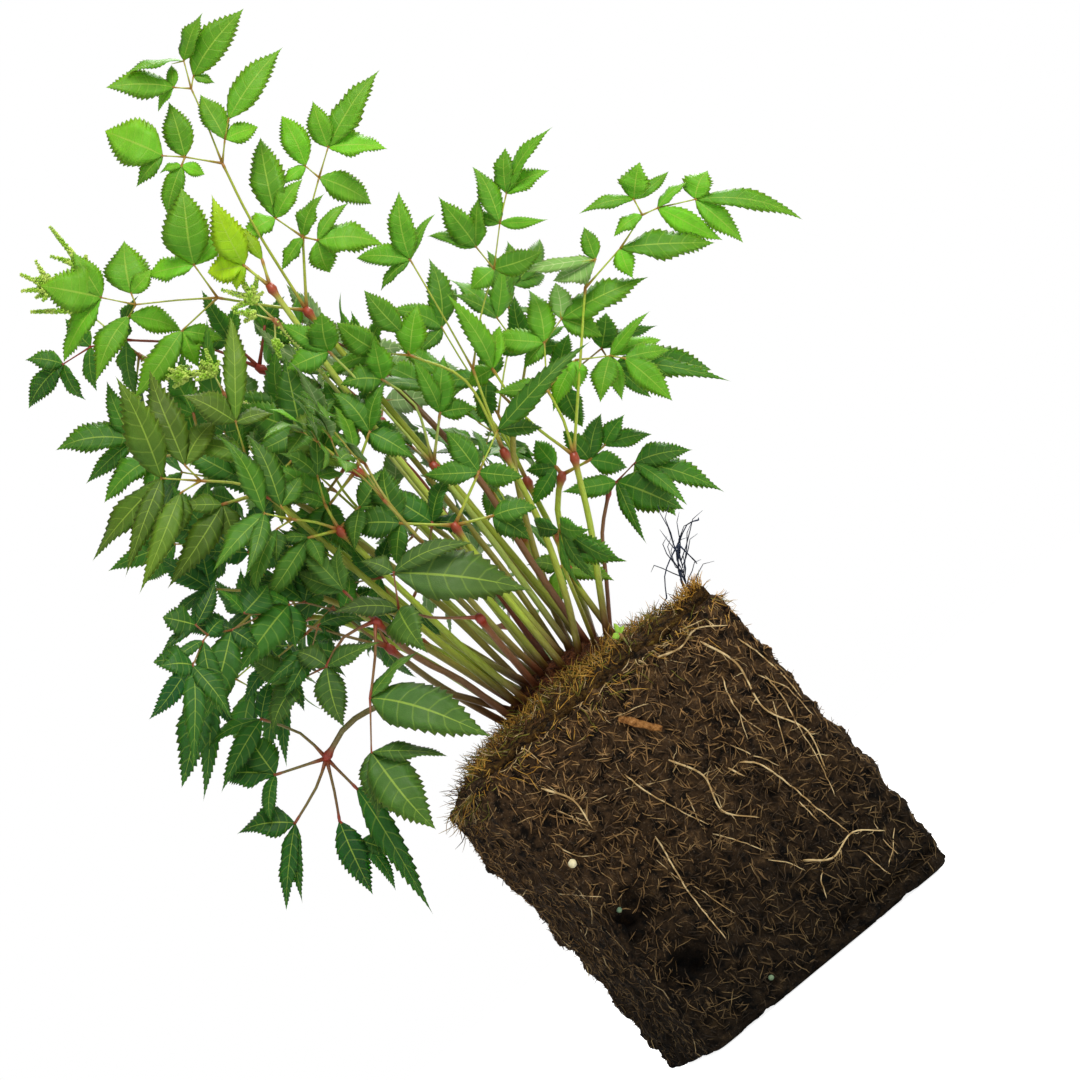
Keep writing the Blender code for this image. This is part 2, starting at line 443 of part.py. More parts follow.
def lay_out(plan, ground, seed):
    """Places one plan in space: nested stalks with their points, and the leaflets at the end of each."""
    pick = random.Random(seed)
    foot_x, foot_y = plan["foot"]
    hit, normal = drop_on(ground, foot_x * CM, foot_y * CM)
    node_x, node_z = plan["stem"][-1]
    lean_x, lean_z = plan["lean"]
    foot_z = hit.z / CM

    def at(x, z, shift=0.0):
        y = plan["back"] + lean_x * (x - node_x) + lean_z * (z - node_z) + shift
        return Vector((x, y, z)) * CM

    def on_petiole(x, z):
        up = max(0.0, (z - foot_z) / (node_z - foot_z))
        return Vector((x, foot_y + (plan["back"] - foot_y) * up ** 1.5, z)) * CM

    def grow(part, start, shift):
        points = [start] + [at(x, z, shift) for x, z in part["route"]]
        blades = []
        for tip_x, tip_z, width in part["leaflets"]:
            tip = at(tip_x, tip_z, shift)
            tip.y += pick.uniform(-TIP_WANDER, TIP_WANDER) * (tip - points[-1]).length
            roll = pick.uniform(-SPRAY_ROLL, SPRAY_ROLL)
            blades.append({"base": points[-1], "tip": tip, "width": width * CM, "roll": roll})
        stalks = []
        for child in part["sprays"]:
            stalks.append(grow(child, points[-1], shift + pick.uniform(-SPRAY_WANDER, SPRAY_WANDER)))
        return {"points": points, "blades": blades, "stalks": stalks}

    petiole = [hit + normal * (GAP * 2)] + [on_petiole(x, z) for x, z in plan["stem"]]
    children = plan.get("sprays") or plan["branches"]
    stalks = [grow(child, petiole[-1], 0.0) for child in children]
    facing = Vector((lean_x, -1.0, lean_z + 0.45)).normalized()
    return {"points": petiole, "blades": [], "stalks": stalks, "foot_normal": normal, "facing": facing}


def drop_on(ground, x, y):
    """The highest point of the crown or the moss under (x, y), and the slope there."""
    hits = [tree.ray_cast(Vector((x, y, 1.0)), Vector((0, 0, -1)))[:2] for tree in ground]
    return max((hit for hit in hits if hit[0] is not None), key=lambda hit: hit[0].z)


def turn_about(stalk, move, spin):
    """Moves a laid out plant part: points by move, directions by spin."""
    stalk["points"] = [move @ point for point in stalk["points"]]
    for blade in stalk["blades"]:
        blade["base"] = move @ blade["base"]
        blade["tip"] = move @ blade["tip"]
        blade["width"] *= move.median_scale
    for child in stalk["stalks"]:
        turn_about(child, move, spin)
    if "facing" in stalk:
        stalk["facing"] = (spin @ stalk["facing"]).normalized()


def lay_out_back(back, ground, seed):
    """A leaf at the back: the front leaf it is like, turned about its foot and set on its own foot."""
    laid = lay_out(LEAVES[back["like"]], ground, seed)
    hit, normal = drop_on(ground, back["foot"][0] * CM, back["foot"][1] * CM)
    foot = hit + normal * (GAP * 2)
    spin = Matrix.Rotation(math.radians(back["turn"]), 4, "Z")
    if back.get("mirror"):
        spin = spin @ Matrix.Diagonal((-1, 1, 1, 1))
    sized = Matrix.Scale(back["size"], 4)
    move = Matrix.Translation(foot) @ spin @ sized @ Matrix.Translation(-laid["points"][0])
    turn_about(laid, move, spin.to_3x3())
    laid["foot_normal"] = normal
    return laid


def blade_frame(blade, facing, roll, push):
    """Where a leaflet lies: its base, direction, side and face, and its length."""
    base = blade["base"]
    tip = blade["tip"] + facing * push * (blade["tip"] - base).length
    along = tip - base
    length = along.length
    along.normalize()
    side = facing.cross(along)
    if side.length < 0.2:
        side = Vector((0, 0, 1)).cross(along)
    side.normalize()
    side = Matrix.Rotation(math.radians(blade["roll"] + roll), 3, along) @ side
    return {"base": base, "along": along, "side": side, "face": along.cross(side), "length": length,
            "width": blade["width"]}


def blade_section(frame, reach):
    """The middle of a leaflet at a share of its length: it arches towards its face."""
    arch = BLADE_ARCH * 4 * reach * (1 - reach) * frame["length"]
    return frame["base"] + frame["along"] * reach * frame["length"] + frame["face"] * arch


def blade_sheets(frame):
    """A leaflet as flat sheets for testing room: its middle sheet, then one on each side of it."""
    middle = blade_section(frame, BLADE_WIDEST)
    tip = blade_section(frame, 1.0)
    start = frame["base"] + frame["along"] * 0.0015
    reach = frame["side"] * frame["width"] * 0.5
    outline = [start, middle + reach, tip, middle - reach]
    sheets = [outline]
    for push in (-BLADE_ROOM, BLADE_ROOM):
        lifts = [push * 1.6, push, push, push]
        sheets.append([point + frame["face"] * lift for point, lift in zip(outline, lifts)])
    return sheets


def tree_of(sheets):
    """A search tree over four-cornered sheets."""
    points = [point for sheet in sheets for point in sheet]
    return BVHTree.FromPolygons(points, [tuple(range(i, i + 4)) for i in range(0, len(points), 4)])


def sleeve(start, end, radius):
    """A square sleeve round one stretch of stalk, with some room, as four sheets."""
    along = (end - start).normalized()
    side = along.orthogonal().normalized() * (radius + STALK_ROOM)
    up = along.cross(side)
    ring = [side + up, side - up, -side - up, up - side]
    return [[start + ring[i], start + ring[i - 1], end + ring[i - 1], end + ring[i]] for i in range(4)]


def sleeves(stalk, radius):
    """Sleeves round a stalk and all that grows from it. Each stage is thinner than the one before."""
    found = []
    for start, end in zip(stalk["points"], stalk["points"][1:]):
        found += sleeve(start, end, radius)
    for child in stalk["stalks"]:
        found += sleeves(child, next_radius(radius))
    return found


def next_radius(radius):
    """The radius of a stalk that grows from one of this radius."""
    return max(TWIG_RADIUS, radius * 0.62)


ROOM_TRIALS = [(roll, push, size) for size in (1.0, 0.8) for roll, push in (
    (0, 0), (18, 0.1), (-18, -0.1), (0, 0.25), (0, -0.25), (35, -0.2), (-35, 0.2), (30, 0.4), (-30, -0.4),
    (0, 0.6), (0, -0.6), (60, 0.1), (-60, -0.1))]


def settle_blades(stalk, facing, others, own):
    """Gives every leaflet a place that is clear of the other leaves, and leaves out one that finds no room."""
    placed = []
    for blade in stalk["blades"]:
        for roll, push, size in ROOM_TRIALS:
            frame = blade_frame(blade, facing, roll, push)
            frame["length"] *= size
            frame["width"] *= size
            sheets = blade_sheets(frame)
            trial = tree_of(sheets)
            if not any(trial.overlap(tree) for tree in others + own):
                placed.append((frame, sheets))
                break
    stalk["frames"] = [frame for frame, sheets in placed]
    mine = [sheet for frame, sheets in placed for sheet in sheets]
    if mine:
        own.append(tree_of(mine))
    for child in stalk["stalks"]:
        settle_blades(child, facing, others, own)


def extend(bm, face, corners):
    """Grows the mesh from one four-cornered face to a new section, without twisting it."""
    grown = bmesh.ops.extrude_discrete_faces(bm, faces=[face])["faces"][0]
    verts = list(grown.verts)
    middle = sum((vert.co for vert in verts), Vector()) / 4
    goal = sum(corners, Vector()) / 4

    def strain(shift):
        moves = [(verts[i].co - middle) - (corners[(i + shift) % 4] - goal) for i in range(4)]
        return sum(move.length_squared for move in moves)

    shift = min(range(4), key=strain)
    for i in range(4):
        verts[i].co = corners[(i + shift) % 4]
    grown.normal_update()
    return grown


def section(centre, along, side, half_side, half_up):
    """The four corners of a section, counter-clockwise as seen from its front."""
    up = along.cross(side)
    turns = ((1, 1), (-1, 1), (-1, -1), (1, -1))
    return [centre + side * right * half_side + up * above * half_up for right, above in turns]


def square_section(centre, along, like, radius):
    """A square section whose sides follow a given direction as nearly as they can."""
    side = (like - along * like.dot(along))
    side = side.normalized() if side.length > 1e-4 else along.orthogonal().normalized()
    return section(centre, along, side, radius * 0.9, radius * 0.9)


def grow_blade(bm, face, frame, radius):
    """Grows a leaflet from a face: a short stalk, its widest section and its tip."""
    half = BLADE_THICKNESS / 2
    if radius > TWIG_RADIUS * 1.5:
        neck = frame["base"] + frame["along"] * (radius * 2.2 + 0.001)
        face = extend(bm, face, section(neck, frame["along"], frame["side"], TWIG_RADIUS * 0.9, half * 1.6))
    middle = blade_section(frame, BLADE_WIDEST)
    face = extend(bm, face, section(middle, frame["along"], frame["side"], frame["width"] / 2, half))
    extend(bm, face, section(blade_section(frame, 1.0), frame["along"], frame["side"], 0.0004, half))


def grow_stalk(bm, face, stalk, radius, started, swell=NODE_SWELL):
    """Grows a stalk from a face along its points, and everything that it carries from the node at its end."""
    points = stalk["points"]
    like = Vector((0, -1, 0))
    if not started:
        along = (points[1] - points[0]).normalized()
        away = min(radius * 4 + 0.001, (points[1] - points[0]).length * 0.4)
        face = extend(bm, face, square_section(points[0] + along * away, along, like, radius))
    for before, point, after in zip(points, points[1:], points[2:]):
        along = (after - before).normalized()
        face = extend(bm, face, square_section(point, along, like, radius))
    along = (points[-1] - points[-2]).normalized()
    children = [(frame["along"], "blade", frame) for frame in stalk["frames"]]
    for child in stalk["stalks"]:
        children.append(((child["points"][1] - child["points"][0]).normalized(), "stalk", child))
    if not children:
        extend(bm, face, square_section(points[-1], along, like, radius * 0.8))
        return
    block = max(radius * 1.3, 0.0008)
    face = extend(bm, face, square_section(points[-1] - along * block, along, like, radius * swell))
    sides = []
    for stage in range(1 + (len(children) - 1) // 5):
        level = points[-1] + along * block * (1 + 2 * stage)
        face = extend(bm, face, square_section(level, along, like, radius * swell))
        sides += [other for edge in face.edges for other in edge.link_faces if other is not face]
    faces = sides + [face]
    for other in faces:
        other.normal_update()
    pairs = []
    for i, child in enumerate(children):
        pairs += [(-child[0].dot(other.normal), i, j) for j, other in enumerate(faces)]
    given = {}
    for cost, i, j in sorted(pairs):
        if i not in given and j not in given.values():
            given[i] = j
    for i, (direction, kind, thing) in enumerate(children):
        start = faces[given[i]]
        if kind == "blade":
            grow_blade(bm, start, thing, radius)
        else:
            grow_stalk(bm, start, thing, next_radius(radius), False)


def grow_object(name, laid, radius, finish, group, swell=NODE_SWELL):
    """Makes one leaf or panicle as a single closed body, grown from the face of its foot."""
    bm = bmesh.new()
    foot = laid["points"][0]
    up = laid["foot_normal"]
    side = up.orthogonal().normalized()
    base = [bm.verts.new(corner) for corner in reversed(section(foot, up, side, radius * 1.2, radius * 1.2))]
    under = bm.faces.new(base)
    top = [bm.verts.new(corner + up * 0.002) for corner in section(foot, up, side, radius * 1.1, radius * 1.1)]
    lid = bm.faces.new(top)
    bmesh.ops.bridge_loops(bm, edges=under.edges[:] + lid.edges[:])
    grow_stalk(bm, lid, laid, radius, True, swell)
    return add_object(name, bm, finish, group)


def lay_root(name, points, from_side, block_tree, group):
    """A loose root on a face of the block, just clear of it: a thin tube through points laid on the face."""
    shown = []
    for (across, up), (next_across, next_up) in zip(points, points[1:]):
        for step in range(4):
            a = (across + (next_across - across) * step / 4) * CM
            z = (up + (next_up - up) * step / 4) * CM
            start = Vector((0.3, a, z)) if from_side else Vector((a, -0.3, z))
            way = Vector((-1, 0, 0)) if from_side else Vector((0, 1, 0))
            hit, normal, index, far = block_tree.ray_cast(start, way)
            shown.append(hit + normal * (ROOT_RADIUS + GAP * 1.5))
    curve = bpy.data.curves.new(name, "CURVE")
    curve.dimensions = "3D"
    curve.bevel_depth = ROOT_RADIUS
    curve.bevel_resolution = 1
    curve.use_fill_caps = True
    line = curve.splines.new("POLY")
    line.points.add(len(shown) - 1)
    for point, place in zip(line.points, shown):
        point.co = (*place, 1.0)
    curve.materials.append(make_material("root", 0.8))
    group.objects.link(bpy.data.objects.new(name, curve))


def seat_on_front(block_tree, place, lift):
    """A point above the front face of the block at (x, z) centimetres, and the slope of the face there."""
    start = Vector((place[0] * CM, -0.3, place[1] * CM))
    hit, normal, index, far = block_tree.ray_cast(start, Vector((0, 1, 0)))
    return hit + normal * lift, normal


def make_peat_things(block_tree, group):
    """The bark chip and the small beads in the front of the block."""
    place, normal = seat_on_front(block_tree, CHIP_AT, CHIP_SIZE[1] / 2 + GAP)
    bm = bmesh.new()
    bmesh.ops.create_cube(bm, size=1.0)
    bmesh.ops.scale(bm, vec=CHIP_SIZE, verts=bm.verts)
    chip = add_object("bark_chip", bm, "chip", group)
    facing = normal.to_track_quat("-Y", "Z").to_matrix().to_4x4()
    chip.matrix_world = Matrix.Translation(place) @ facing @ Matrix.Rotation(CHIP_TURN, 4, "Y")
    bevel = chip.modifiers.new("worn edges", "BEVEL")
    bevel.width = 0.0006
    bevel.segments = 1
    for name, (at, radius) in BEADS.items():
        place, normal = seat_on_front(block_tree, at, radius + GAP)
        bm = bmesh.new()
        bmesh.ops.create_uvsphere(bm, u_segments=10, v_segments=6, radius=radius)
        bead = add_object(name, bm, "cream" if name == "cream_bead" else "prill", group)
        bead.location = place


def build():
    for made in list(bpy.data.objects):
        bpy.data.objects.remove(made)
    group = bpy.data.collections.new("astilbe plant")
    cutters = bpy.data.collections.new("cutters")
    bpy.context.scene.collection.children.link(group)
    bpy.context.scene.collection.children.link(cutters)
    block = make_block(group)
    crown = make_crown(group)
    moss = make_moss(group, cutters)
    ground = [surface_of(crown), surface_of(moss), surface_of(block)]

    laid = {name: lay_out(plan, ground, seed) for seed, (name, plan) in enumerate(LEAVES.items())}
    for seed, (name, back) in enumerate(BACK_LEAVES.items()):
        laid[name] = lay_out_back(back, ground, 100 + seed)
    for seed, (name, plan) in enumerate({**PANICLES, **TRIMMINGS}.items()):
        laid[name] = lay_out(plan, ground, 200 + seed)
    radii = {name: PETIOLE_RADIUS for name in laid}
    radii.update({name: THIN_RADIUS for name in (*PANICLES, "leaf_low_right", "leaf_front_low")})
    radii.update({"dry_root_tuft": TWIG_RADIUS, "seedling": 0.0004})
    stalk_trees = {name: tree_of(sleeves(tree, radii[name])) for name, tree in laid.items()}
    blade_trees = {}
    for name, tree in laid.items():
        others = ground + [stalk_trees[other] for other in laid if other != name]
        others += [found for other in blade_trees.values() for found in other]
        blade_trees[name] = []
        tree["frames"] = []
        for stalk in tree["stalks"]:
            settle_blades(stalk, tree["facing"], others, blade_trees[name])
        finish = "lime" if name == "leaf_young" else "leaf"
        finish = "flower" if name in PANICLES else "wire" if name == "dry_root_tuft" else finish
        grow_object(name, tree, radii[name], finish, group)

    block_tree = ground[2]
    for name, points in FRONT_ROOTS.items():
        lay_root(name, points, False, block_tree, group)
    for name, points in SIDE_ROOTS.items():
        lay_root(name, points, True, block_tree, group)
    make_peat_things(block_tree, group)
    return laid, stalk_trees, blade_trees


build()
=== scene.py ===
# Astilbe plant lifted from its pot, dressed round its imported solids.
# Leaf plans are in centimetres, the way they were measured off. Everything made from them is in metres.
import math
import random

import bmesh
import bpy
from mathutils import Matrix, Vector, noise
from mathutils.bvhtree import BVHTree
from mathutils.kdtree import KDTree


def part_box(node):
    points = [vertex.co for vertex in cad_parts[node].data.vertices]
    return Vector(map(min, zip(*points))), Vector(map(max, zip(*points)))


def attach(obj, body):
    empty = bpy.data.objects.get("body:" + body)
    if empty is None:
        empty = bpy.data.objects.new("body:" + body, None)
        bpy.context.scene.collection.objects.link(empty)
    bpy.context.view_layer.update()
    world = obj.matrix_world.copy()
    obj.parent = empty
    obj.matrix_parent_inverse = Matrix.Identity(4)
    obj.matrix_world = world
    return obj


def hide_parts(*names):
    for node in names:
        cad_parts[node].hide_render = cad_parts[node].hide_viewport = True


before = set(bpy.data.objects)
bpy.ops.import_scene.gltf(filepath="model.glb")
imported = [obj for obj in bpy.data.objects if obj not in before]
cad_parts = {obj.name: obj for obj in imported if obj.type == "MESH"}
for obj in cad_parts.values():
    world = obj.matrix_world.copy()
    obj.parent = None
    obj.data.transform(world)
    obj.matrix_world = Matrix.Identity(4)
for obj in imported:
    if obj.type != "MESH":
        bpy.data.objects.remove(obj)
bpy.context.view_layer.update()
cm = 0.01
gap = 0.0003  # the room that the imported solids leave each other
fullTurn = 6.28  # for random directions
upward, backward = Vector((0, 0, 1)), Vector((0, 1, 0))

# Where each kind of thing starts its random draws
seeds = {"frontLeaves": 0, "backLeaves": 100, "others": 200, "leaflets": 300, "panicles": 400, "hairs": 500,
         "crumbs": 520, "moss": 540, "roots": 560, "looseRoots": 575, "tuft": 580, "seedling": 590}


def shade(red, green, blue):  # a colour as it looks, 0 to 255, made linear
    return tuple((part / 255) ** 2.2 for part in (red, green, blue))


def mixed(one, two, share):
    return tuple(a + (b - a) * share for a, b in zip(one, two))


def lumps(point, scale, amount):  # smooth lumps: how far a point of an earthy surface moves
    place = point / scale
    shifts = (Vector((0, 0, 0)), Vector((7.3, -2.6, 4.4)), Vector((-3.8, 5.1, 9.7)))
    return Vector([noise.noise(place + shift) for shift in shifts]) * amount


def spray(route, leaflets=(), sprays=()):  # a stalk through (x, z), its leaflets (tip x, tip z, width), more stalks
    return {"route": route, "leaflets": leaflets, "sprays": sprays}


# Each leaf: its foot on the crown (x, y), the front view of its petiole, how far back its main node lies,
# how its blade leans back per centimetre to the right and up, and what grows from the node
leafPlans = {
    "leaf_top": {
        "foot": (1.2, 0.1), "stem": [(1.2, 21.0), (1.1, 28.0), (0.95, 35.2)],
        "back": 0.4, "lean": (0.06, -0.03),
        "sprays": [
            spray([(1.5, 39.5), (2.12, 42.35)], [], [
                spray([(1.05, 43.6)], [(2.0, 46.0, 1.3)], [
                    spray([(0.35, 44.2)], [(-0.9, 46.6, 2.1), (-1.45, 43.95, 0.75)]),
                    spray([(0.7, 43.4)], [(-0.2, 43.85, 0.5), (-1.15, 42.2, 1.0), (1.25, 42.5, 0.6)])]),
                spray([(2.85, 43.05)], [(3.25, 45.4, 1.1), (4.3, 42.6, 0.9)], [
                    spray([(3.5, 43.6)], [(7.3, 44.7, 1.3)])]),
                spray([(2.75, 44.4), (3.1, 45.7)], [], [
                    spray([(2.55, 46.2)], [(0.3, 47.9, 1.3), (1.35, 45.9, 0.5), (3.1, 47.1, 0.5)]),
                    spray([(3.5, 46.1)], [(7.0, 46.95, 1.5), (4.05, 45.3, 0.5)]),
                    spray([(3.6, 46.85)], [(1.25, 47.45, 0.9), (5.5, 47.75, 1.2)])])]),
            spray([(2.8, 37.75)], [(1.2, 37.2, 0.8), (4.6, 38.75, 1.0)], [
                spray([(2.4, 39.15)], [(0.8, 39.4, 1.1), (4.3, 39.8, 0.9), (4.05, 42.5, 1.5)]),
                spray([(3.2, 37.2)], [(5.45, 35.4, 1.5), (2.7, 35.8, 1.2), (5.3, 37.7, 0.6)]),
                spray([(4.94, 39.3)], [(6.1, 37.05, 1.3)], [
                    spray([(4.8, 40.1)], [(5.35, 42.5, 1.2), (3.5, 40.1, 0.7)]),
                    spray([(6.05, 40.05)], [(6.75, 42.1, 1.1), (8.0, 38.4, 1.3), (9.9, 41.3, 1.3)])])]),
            spray([(-0.3, 36.5), (-1.65, 38.0)], [], [
                spray([(-1.55, 39.7)], [(0.2, 42.4, 2.0), (-3.5, 40.8, 1.2), (1.0, 40.2, 0.8)]),
                spray([(-3.7, 37.9)], [(-7.1, 37.0, 1.3), (-4.2, 36.2, 1.0), (-2.5, 36.6, 0.9)]),
                spray([(-3.0, 39.0), (-4.55, 40.0)], [], [
                    spray([(-4.4, 40.5)], [(-3.2, 42.6, 1.9), (-3.1, 40.6, 0.8)]),
                    spray([(-5.1, 39.85)], [(-3.7, 38.0, 1.1), (-7.9, 38.6, 1.3)]),
                    spray([(-5.5, 41.15)], [(-8.6, 40.3, 1.2), (-5.2, 43.4, 1.1), (-7.1, 43.1, 2.0)])])])],
    },
    "leaf_young": {
        "foot": (0.1, -0.7), "stem": [(0.0, 24.0), (0.1, 31.0), (0.4, 36.8)],
        "back": -1.2, "lean": (0.0, 0.0),
        "sprays": [
            spray([(0.1, 38.2)], [(0.9, 41.3, 1.4), (-1.3, 39.0, 1.3), (-0.9, 37.6, 0.8)]),
            spray([(0.85, 37.9)], [(1.0, 39.7, 0.6)])],
    },
    "leaf_far_left": {
        "foot": (-0.5, 0.7), "stem": [(-0.2, 22.0), (0.1, 27.0), (-0.6, 30.5), (-2.2, 34.8)], "back": 2.6,
        "lean": (-0.12, 0.0),
        "sprays": [
            spray([(-3.6, 37.2), (-5.9, 39.4)], [(-7.2, 37.0, 1.2), (-4.4, 40.6, 1.0)], [
                spray([(-7.3, 40.2)], [(-7.4, 41.9, 0.9), (-8.3, 38.5, 0.8)], [
                    spray([(-8.7, 40.4)], [(-11.2, 39.95, 1.0), (-9.9, 41.6, 0.9), (-9.1, 38.6, 0.8)])])]),
            spray([(-2.4, 36.4)], [(-3.5, 37.4, 0.8), (-1.2, 37.6, 0.8), (-2.0, 38.9, 0.9)]),
            spray([(-0.9, 36.0)], [(0.6, 36.5, 0.8), (-0.1, 34.6, 0.9), (-0.4, 37.7, 0.7)])],
    },
    "leaf_upper_left": {
        "foot": (-1.9, 0.3), "stem": [(-2.6, 22.3), (-4.3, 28.5), (-5.4, 31.3), (-6.3, 33.4)], "back": 1.2,
        "lean": (0.0, 0.05),
        "sprays": [
            spray([(-8.3, 35.65)], [(-11.05, 37.5, 1.5), (-7.6, 38.4, 0.9), (-11.15, 35.55, 0.8)]),
            spray([(-7.9, 34.4)], [(-10.8, 34.5, 1.3), (-9.6, 33.0, 0.9)]),
            spray([(-5.6, 34.9)], [(-5.3, 37.2, 1.1), (-3.8, 35.3, 0.9), (-7.0, 36.6, 0.9)])],
    },
    "leaf_olive": {
        "foot": (-2.6, -1.2), "stem": [(-3.6, 21.0), (-4.7, 27.3), (-5.2, 30.1)],
        "back": -2.6, "lean": (0.16, -0.05),
        "sprays": [
            spray([(-6.0, 31.2), (-7.0, 32.1)], [], [
                spray([(-7.95, 32.2)], [(-11.1, 30.4, 0.9), (-9.0, 31.1, 0.8)]),
                spray([(-7.1, 33.0)], [(-6.0, 36.5, 1.2), (-5.3, 33.6, 1.0)]),
                spray([(-8.2, 33.2)], [(-7.2, 36.9, 1.3), (-11.1, 31.4, 0.8), (-11.9, 32.6, 1.2)])]),
            spray([(-4.9, 31.7)], [(-6.3, 33.5, 1.0)], [
                spray([(-4.3, 33.1)], [(-5.1, 35.0, 1.1), (-2.0, 36.2, 0.8), (-3.0, 32.6, 0.8)])]),
            spray([(-6.9, 30.75)], [(-8.2, 31.7, 0.8), (-10.2, 29.7, 1.0), (-7.4, 29.2, 0.8)]),
            spray([(-3.4, 30.4)], [(-5.2, 28.9, 1.0), (-1.3, 31.2, 1.1), (-2.0, 29.2, 0.9)])],
    },
    "leaf_blue": {
        "foot": (-2.7, -0.1), "stem": [(-4.4, 21.5), (-6.2, 25.2), (-7.6, 26.6)],
        "back": -1.4, "lean": (0.18, 0.05),
        "sprays": [
            spray([(-9.6, 28.4)],
                  [(-10.3, 30.4, 0.9), (-11.4, 28.4, 0.6), (-8.8, 30.0, 0.7), (-11.0, 27.6, 0.7)]),
            spray([(-9.9, 26.4)], [(-11.2, 27.6, 0.9), (-9.4, 24.6, 1.0)], [
                spray([(-12.2, 26.4)], [(-13.1, 27.3, 1.0), (-14.5, 25.8, 0.7)], [
                    spray([(-12.0, 25.5)], [(-15.0, 23.1, 1.2), (-14.85, 22.3, 0.7), (-12.4, 23.6, 0.6)])])]),
            spray([(-7.4, 28.6)], [(-5.3, 29.9, 0.9), (-6.2, 27.2, 1.1), (-8.6, 29.6, 0.9)])],
    },
    "leaf_low_left": {
        "foot": (-3.0, -0.6), "stem": [(-5.2, 19.2), (-8.2, 20.2), (-10.2, 19.7)],
        "back": -3.4, "lean": (0.10, 0.12),
        "sprays": [
            spray([(-12.3, 20.5)], [(-13.7, 21.8, 1.2), (-12.2, 22.5, 1.1), (-13.4, 19.4, 0.6)]),
            spray([(-11.3, 19.0), (-12.9, 18.4)],
                  [(-14.6, 19.5, 1.3), (-15.0, 16.3, 0.7), (-14.4, 16.2, 0.5)]),
            spray([(-10.8, 18.4), (-11.4, 17.3)], [(-12.1, 14.6, 1.0)], [
                spray([(-11.2, 16.1)], [(-11.3, 14.0, 0.5), (-10.6, 15.2, 0.7)])]),
            spray([(-10.0, 17.9)], [(-10.65, 12.9, 0.9), (-9.2, 16.2, 0.8)]),
            spray([(-10.4, 21.2), (-11.3, 22.7)],
                  [(-13.9, 21.7, 0.8), (-13.8, 23.3, 0.6), (-10.3, 23.6, 0.7)])],
    },
    "leaf_front_left": {
        "foot": (-3.1, -1.25), "stem": [(-3.8, 18.7), (-4.6, 20.6), (-4.95, 22.8)],
        "back": -4.8, "lean": (0.05, 0.32),
        "sprays": [
            spray([(-5.9, 21.6), (-7.1, 20.4)], [(-4.1, 16.15, 2.4), (-4.3, 20.8, 1.0)], [
                spray([(-8.45, 18.6)], [(-8.3, 14.4, 2.0), (-6.0, 16.6, 1.1), (-9.9, 16.3, 1.2)])]),
            spray([(-6.4, 23.1), (-7.7, 22.6)], [(-5.3, 22.0, 1.0), (-8.8, 20.2, 1.3), (-8.3, 24.0, 1.1)], [
                spray([(-9.0, 22.9)], [(-11.3, 22.0, 1.3), (-10.0, 24.9, 1.2)])]),
            spray([(-5.2, 24.6)], [(-6.3, 26.6, 1.0), (-4.2, 26.4, 1.0), (-5.5, 27.5, 0.9)])],
    },
    "leaf_front_mid": {
        "foot": (-1.5, -1.7), "stem": [(-1.55, 18.6), (-1.5, 20.2)], "back": -4.2, "lean": (-0.02, 0.05),
        "sprays": [
            spray([(-3.1, 21.5), (-3.9, 22.6)], [(-4.2, 19.9, 1.7), (-5.9, 23.6, 1.0)], [
                spray([(-3.1, 23.9)], [(-3.75, 25.2, 0.9), (0.2, 23.0, 0.9), (1.1, 20.0, 2.4)])])],
    },
    "leaf_middle": {
        "foot": (-0.7, -1.0), "stem": [(-0.75, 20.5), (-1.1, 26.5), (-1.7, 28.4)],
        "back": -1.8, "lean": (0.0, 0.02),
        "sprays": [
            spray([(-3.4, 28.0)], [(-5.6, 27.6, 1.2), (-4.0, 26.2, 1.0), (-3.9, 30.0, 1.0)]),
            spray([(-2.4, 31.2)],
                  [(-3.6, 33.4, 1.1), (-1.2, 33.6, 1.2), (-4.2, 31.6, 0.9), (-0.6, 31.4, 1.0)]),
            spray([(-0.2, 29.3)], [(1.3, 30.2, 0.9), (0.5, 27.6, 1.0), (-0.2, 31.2, 1.0)])],
    },
    "leaf_low_middle": {
        "foot": (-0.1, -1.9), "stem": [(-0.1, 20.5), (0.1, 23.9)], "back": -3.0, "lean": (0.04, 0.05),
        "sprays": [
            spray([(-1.6, 25.4)], [(-3.1, 26.6, 1.1), (-0.9, 27.4, 1.2), (-2.6, 24.4, 0.9)]),
            spray([(2.3, 25.0)], [(2.3, 26.9, 0.9), (0.8, 26.2, 0.8), (3.4, 23.9, 0.8)], [
                spray([(4.0, 25.9)], [(8.3, 26.5, 0.8), (5.3, 25.0, 0.7)])]),
            spray([(1.6, 23.2)], [(3.0, 22.5, 0.9), (2.1, 21.7, 0.9)])],
    },
    "leaf_mid_right": {
        "foot": (0.8, -1.4), "stem": [(1.9, 18.8), (2.9, 21.6), (3.68, 25.1)],
        "back": -1.8, "lean": (-0.06, -0.02),
        "sprays": [
            spray([(4.3, 27.0), (4.85, 28.6)], [], [
                spray([(6.5, 30.1), (8.2, 31.3)], [(10.3, 30.6, 1.1), (6.9, 31.3, 1.0)], [
                    spray([(8.2, 32.5)], [(8.2, 35.1, 1.2), (7.0, 34.3, 0.8), (9.6, 34.1, 0.9)]),
                    spray([(9.6, 32.6)], [(10.4, 35.1, 1.0), (11.2, 31.4, 0.5), (8.9, 33.8, 0.6)], [
                        spray([(10.6, 33.4)], [(13.8, 34.4, 0.9), (11.7, 35.0, 1.0), (12.6, 33.0, 1.0)])])]),
                spray([(5.3, 31.2), (5.7, 33.8)],
                      [(7.1, 36.4, 1.2), (4.0, 35.5, 1.0), (7.7, 34.8, 0.5), (3.9, 33.6, 0.6)])]),
            spray([(4.3, 28.4), (3.15, 30.75)], [(4.7, 32.2, 1.3)], [
                spray([(2.3, 31.6)], [(-0.7, 32.9, 1.0), (1.6, 33.8, 1.2)]),
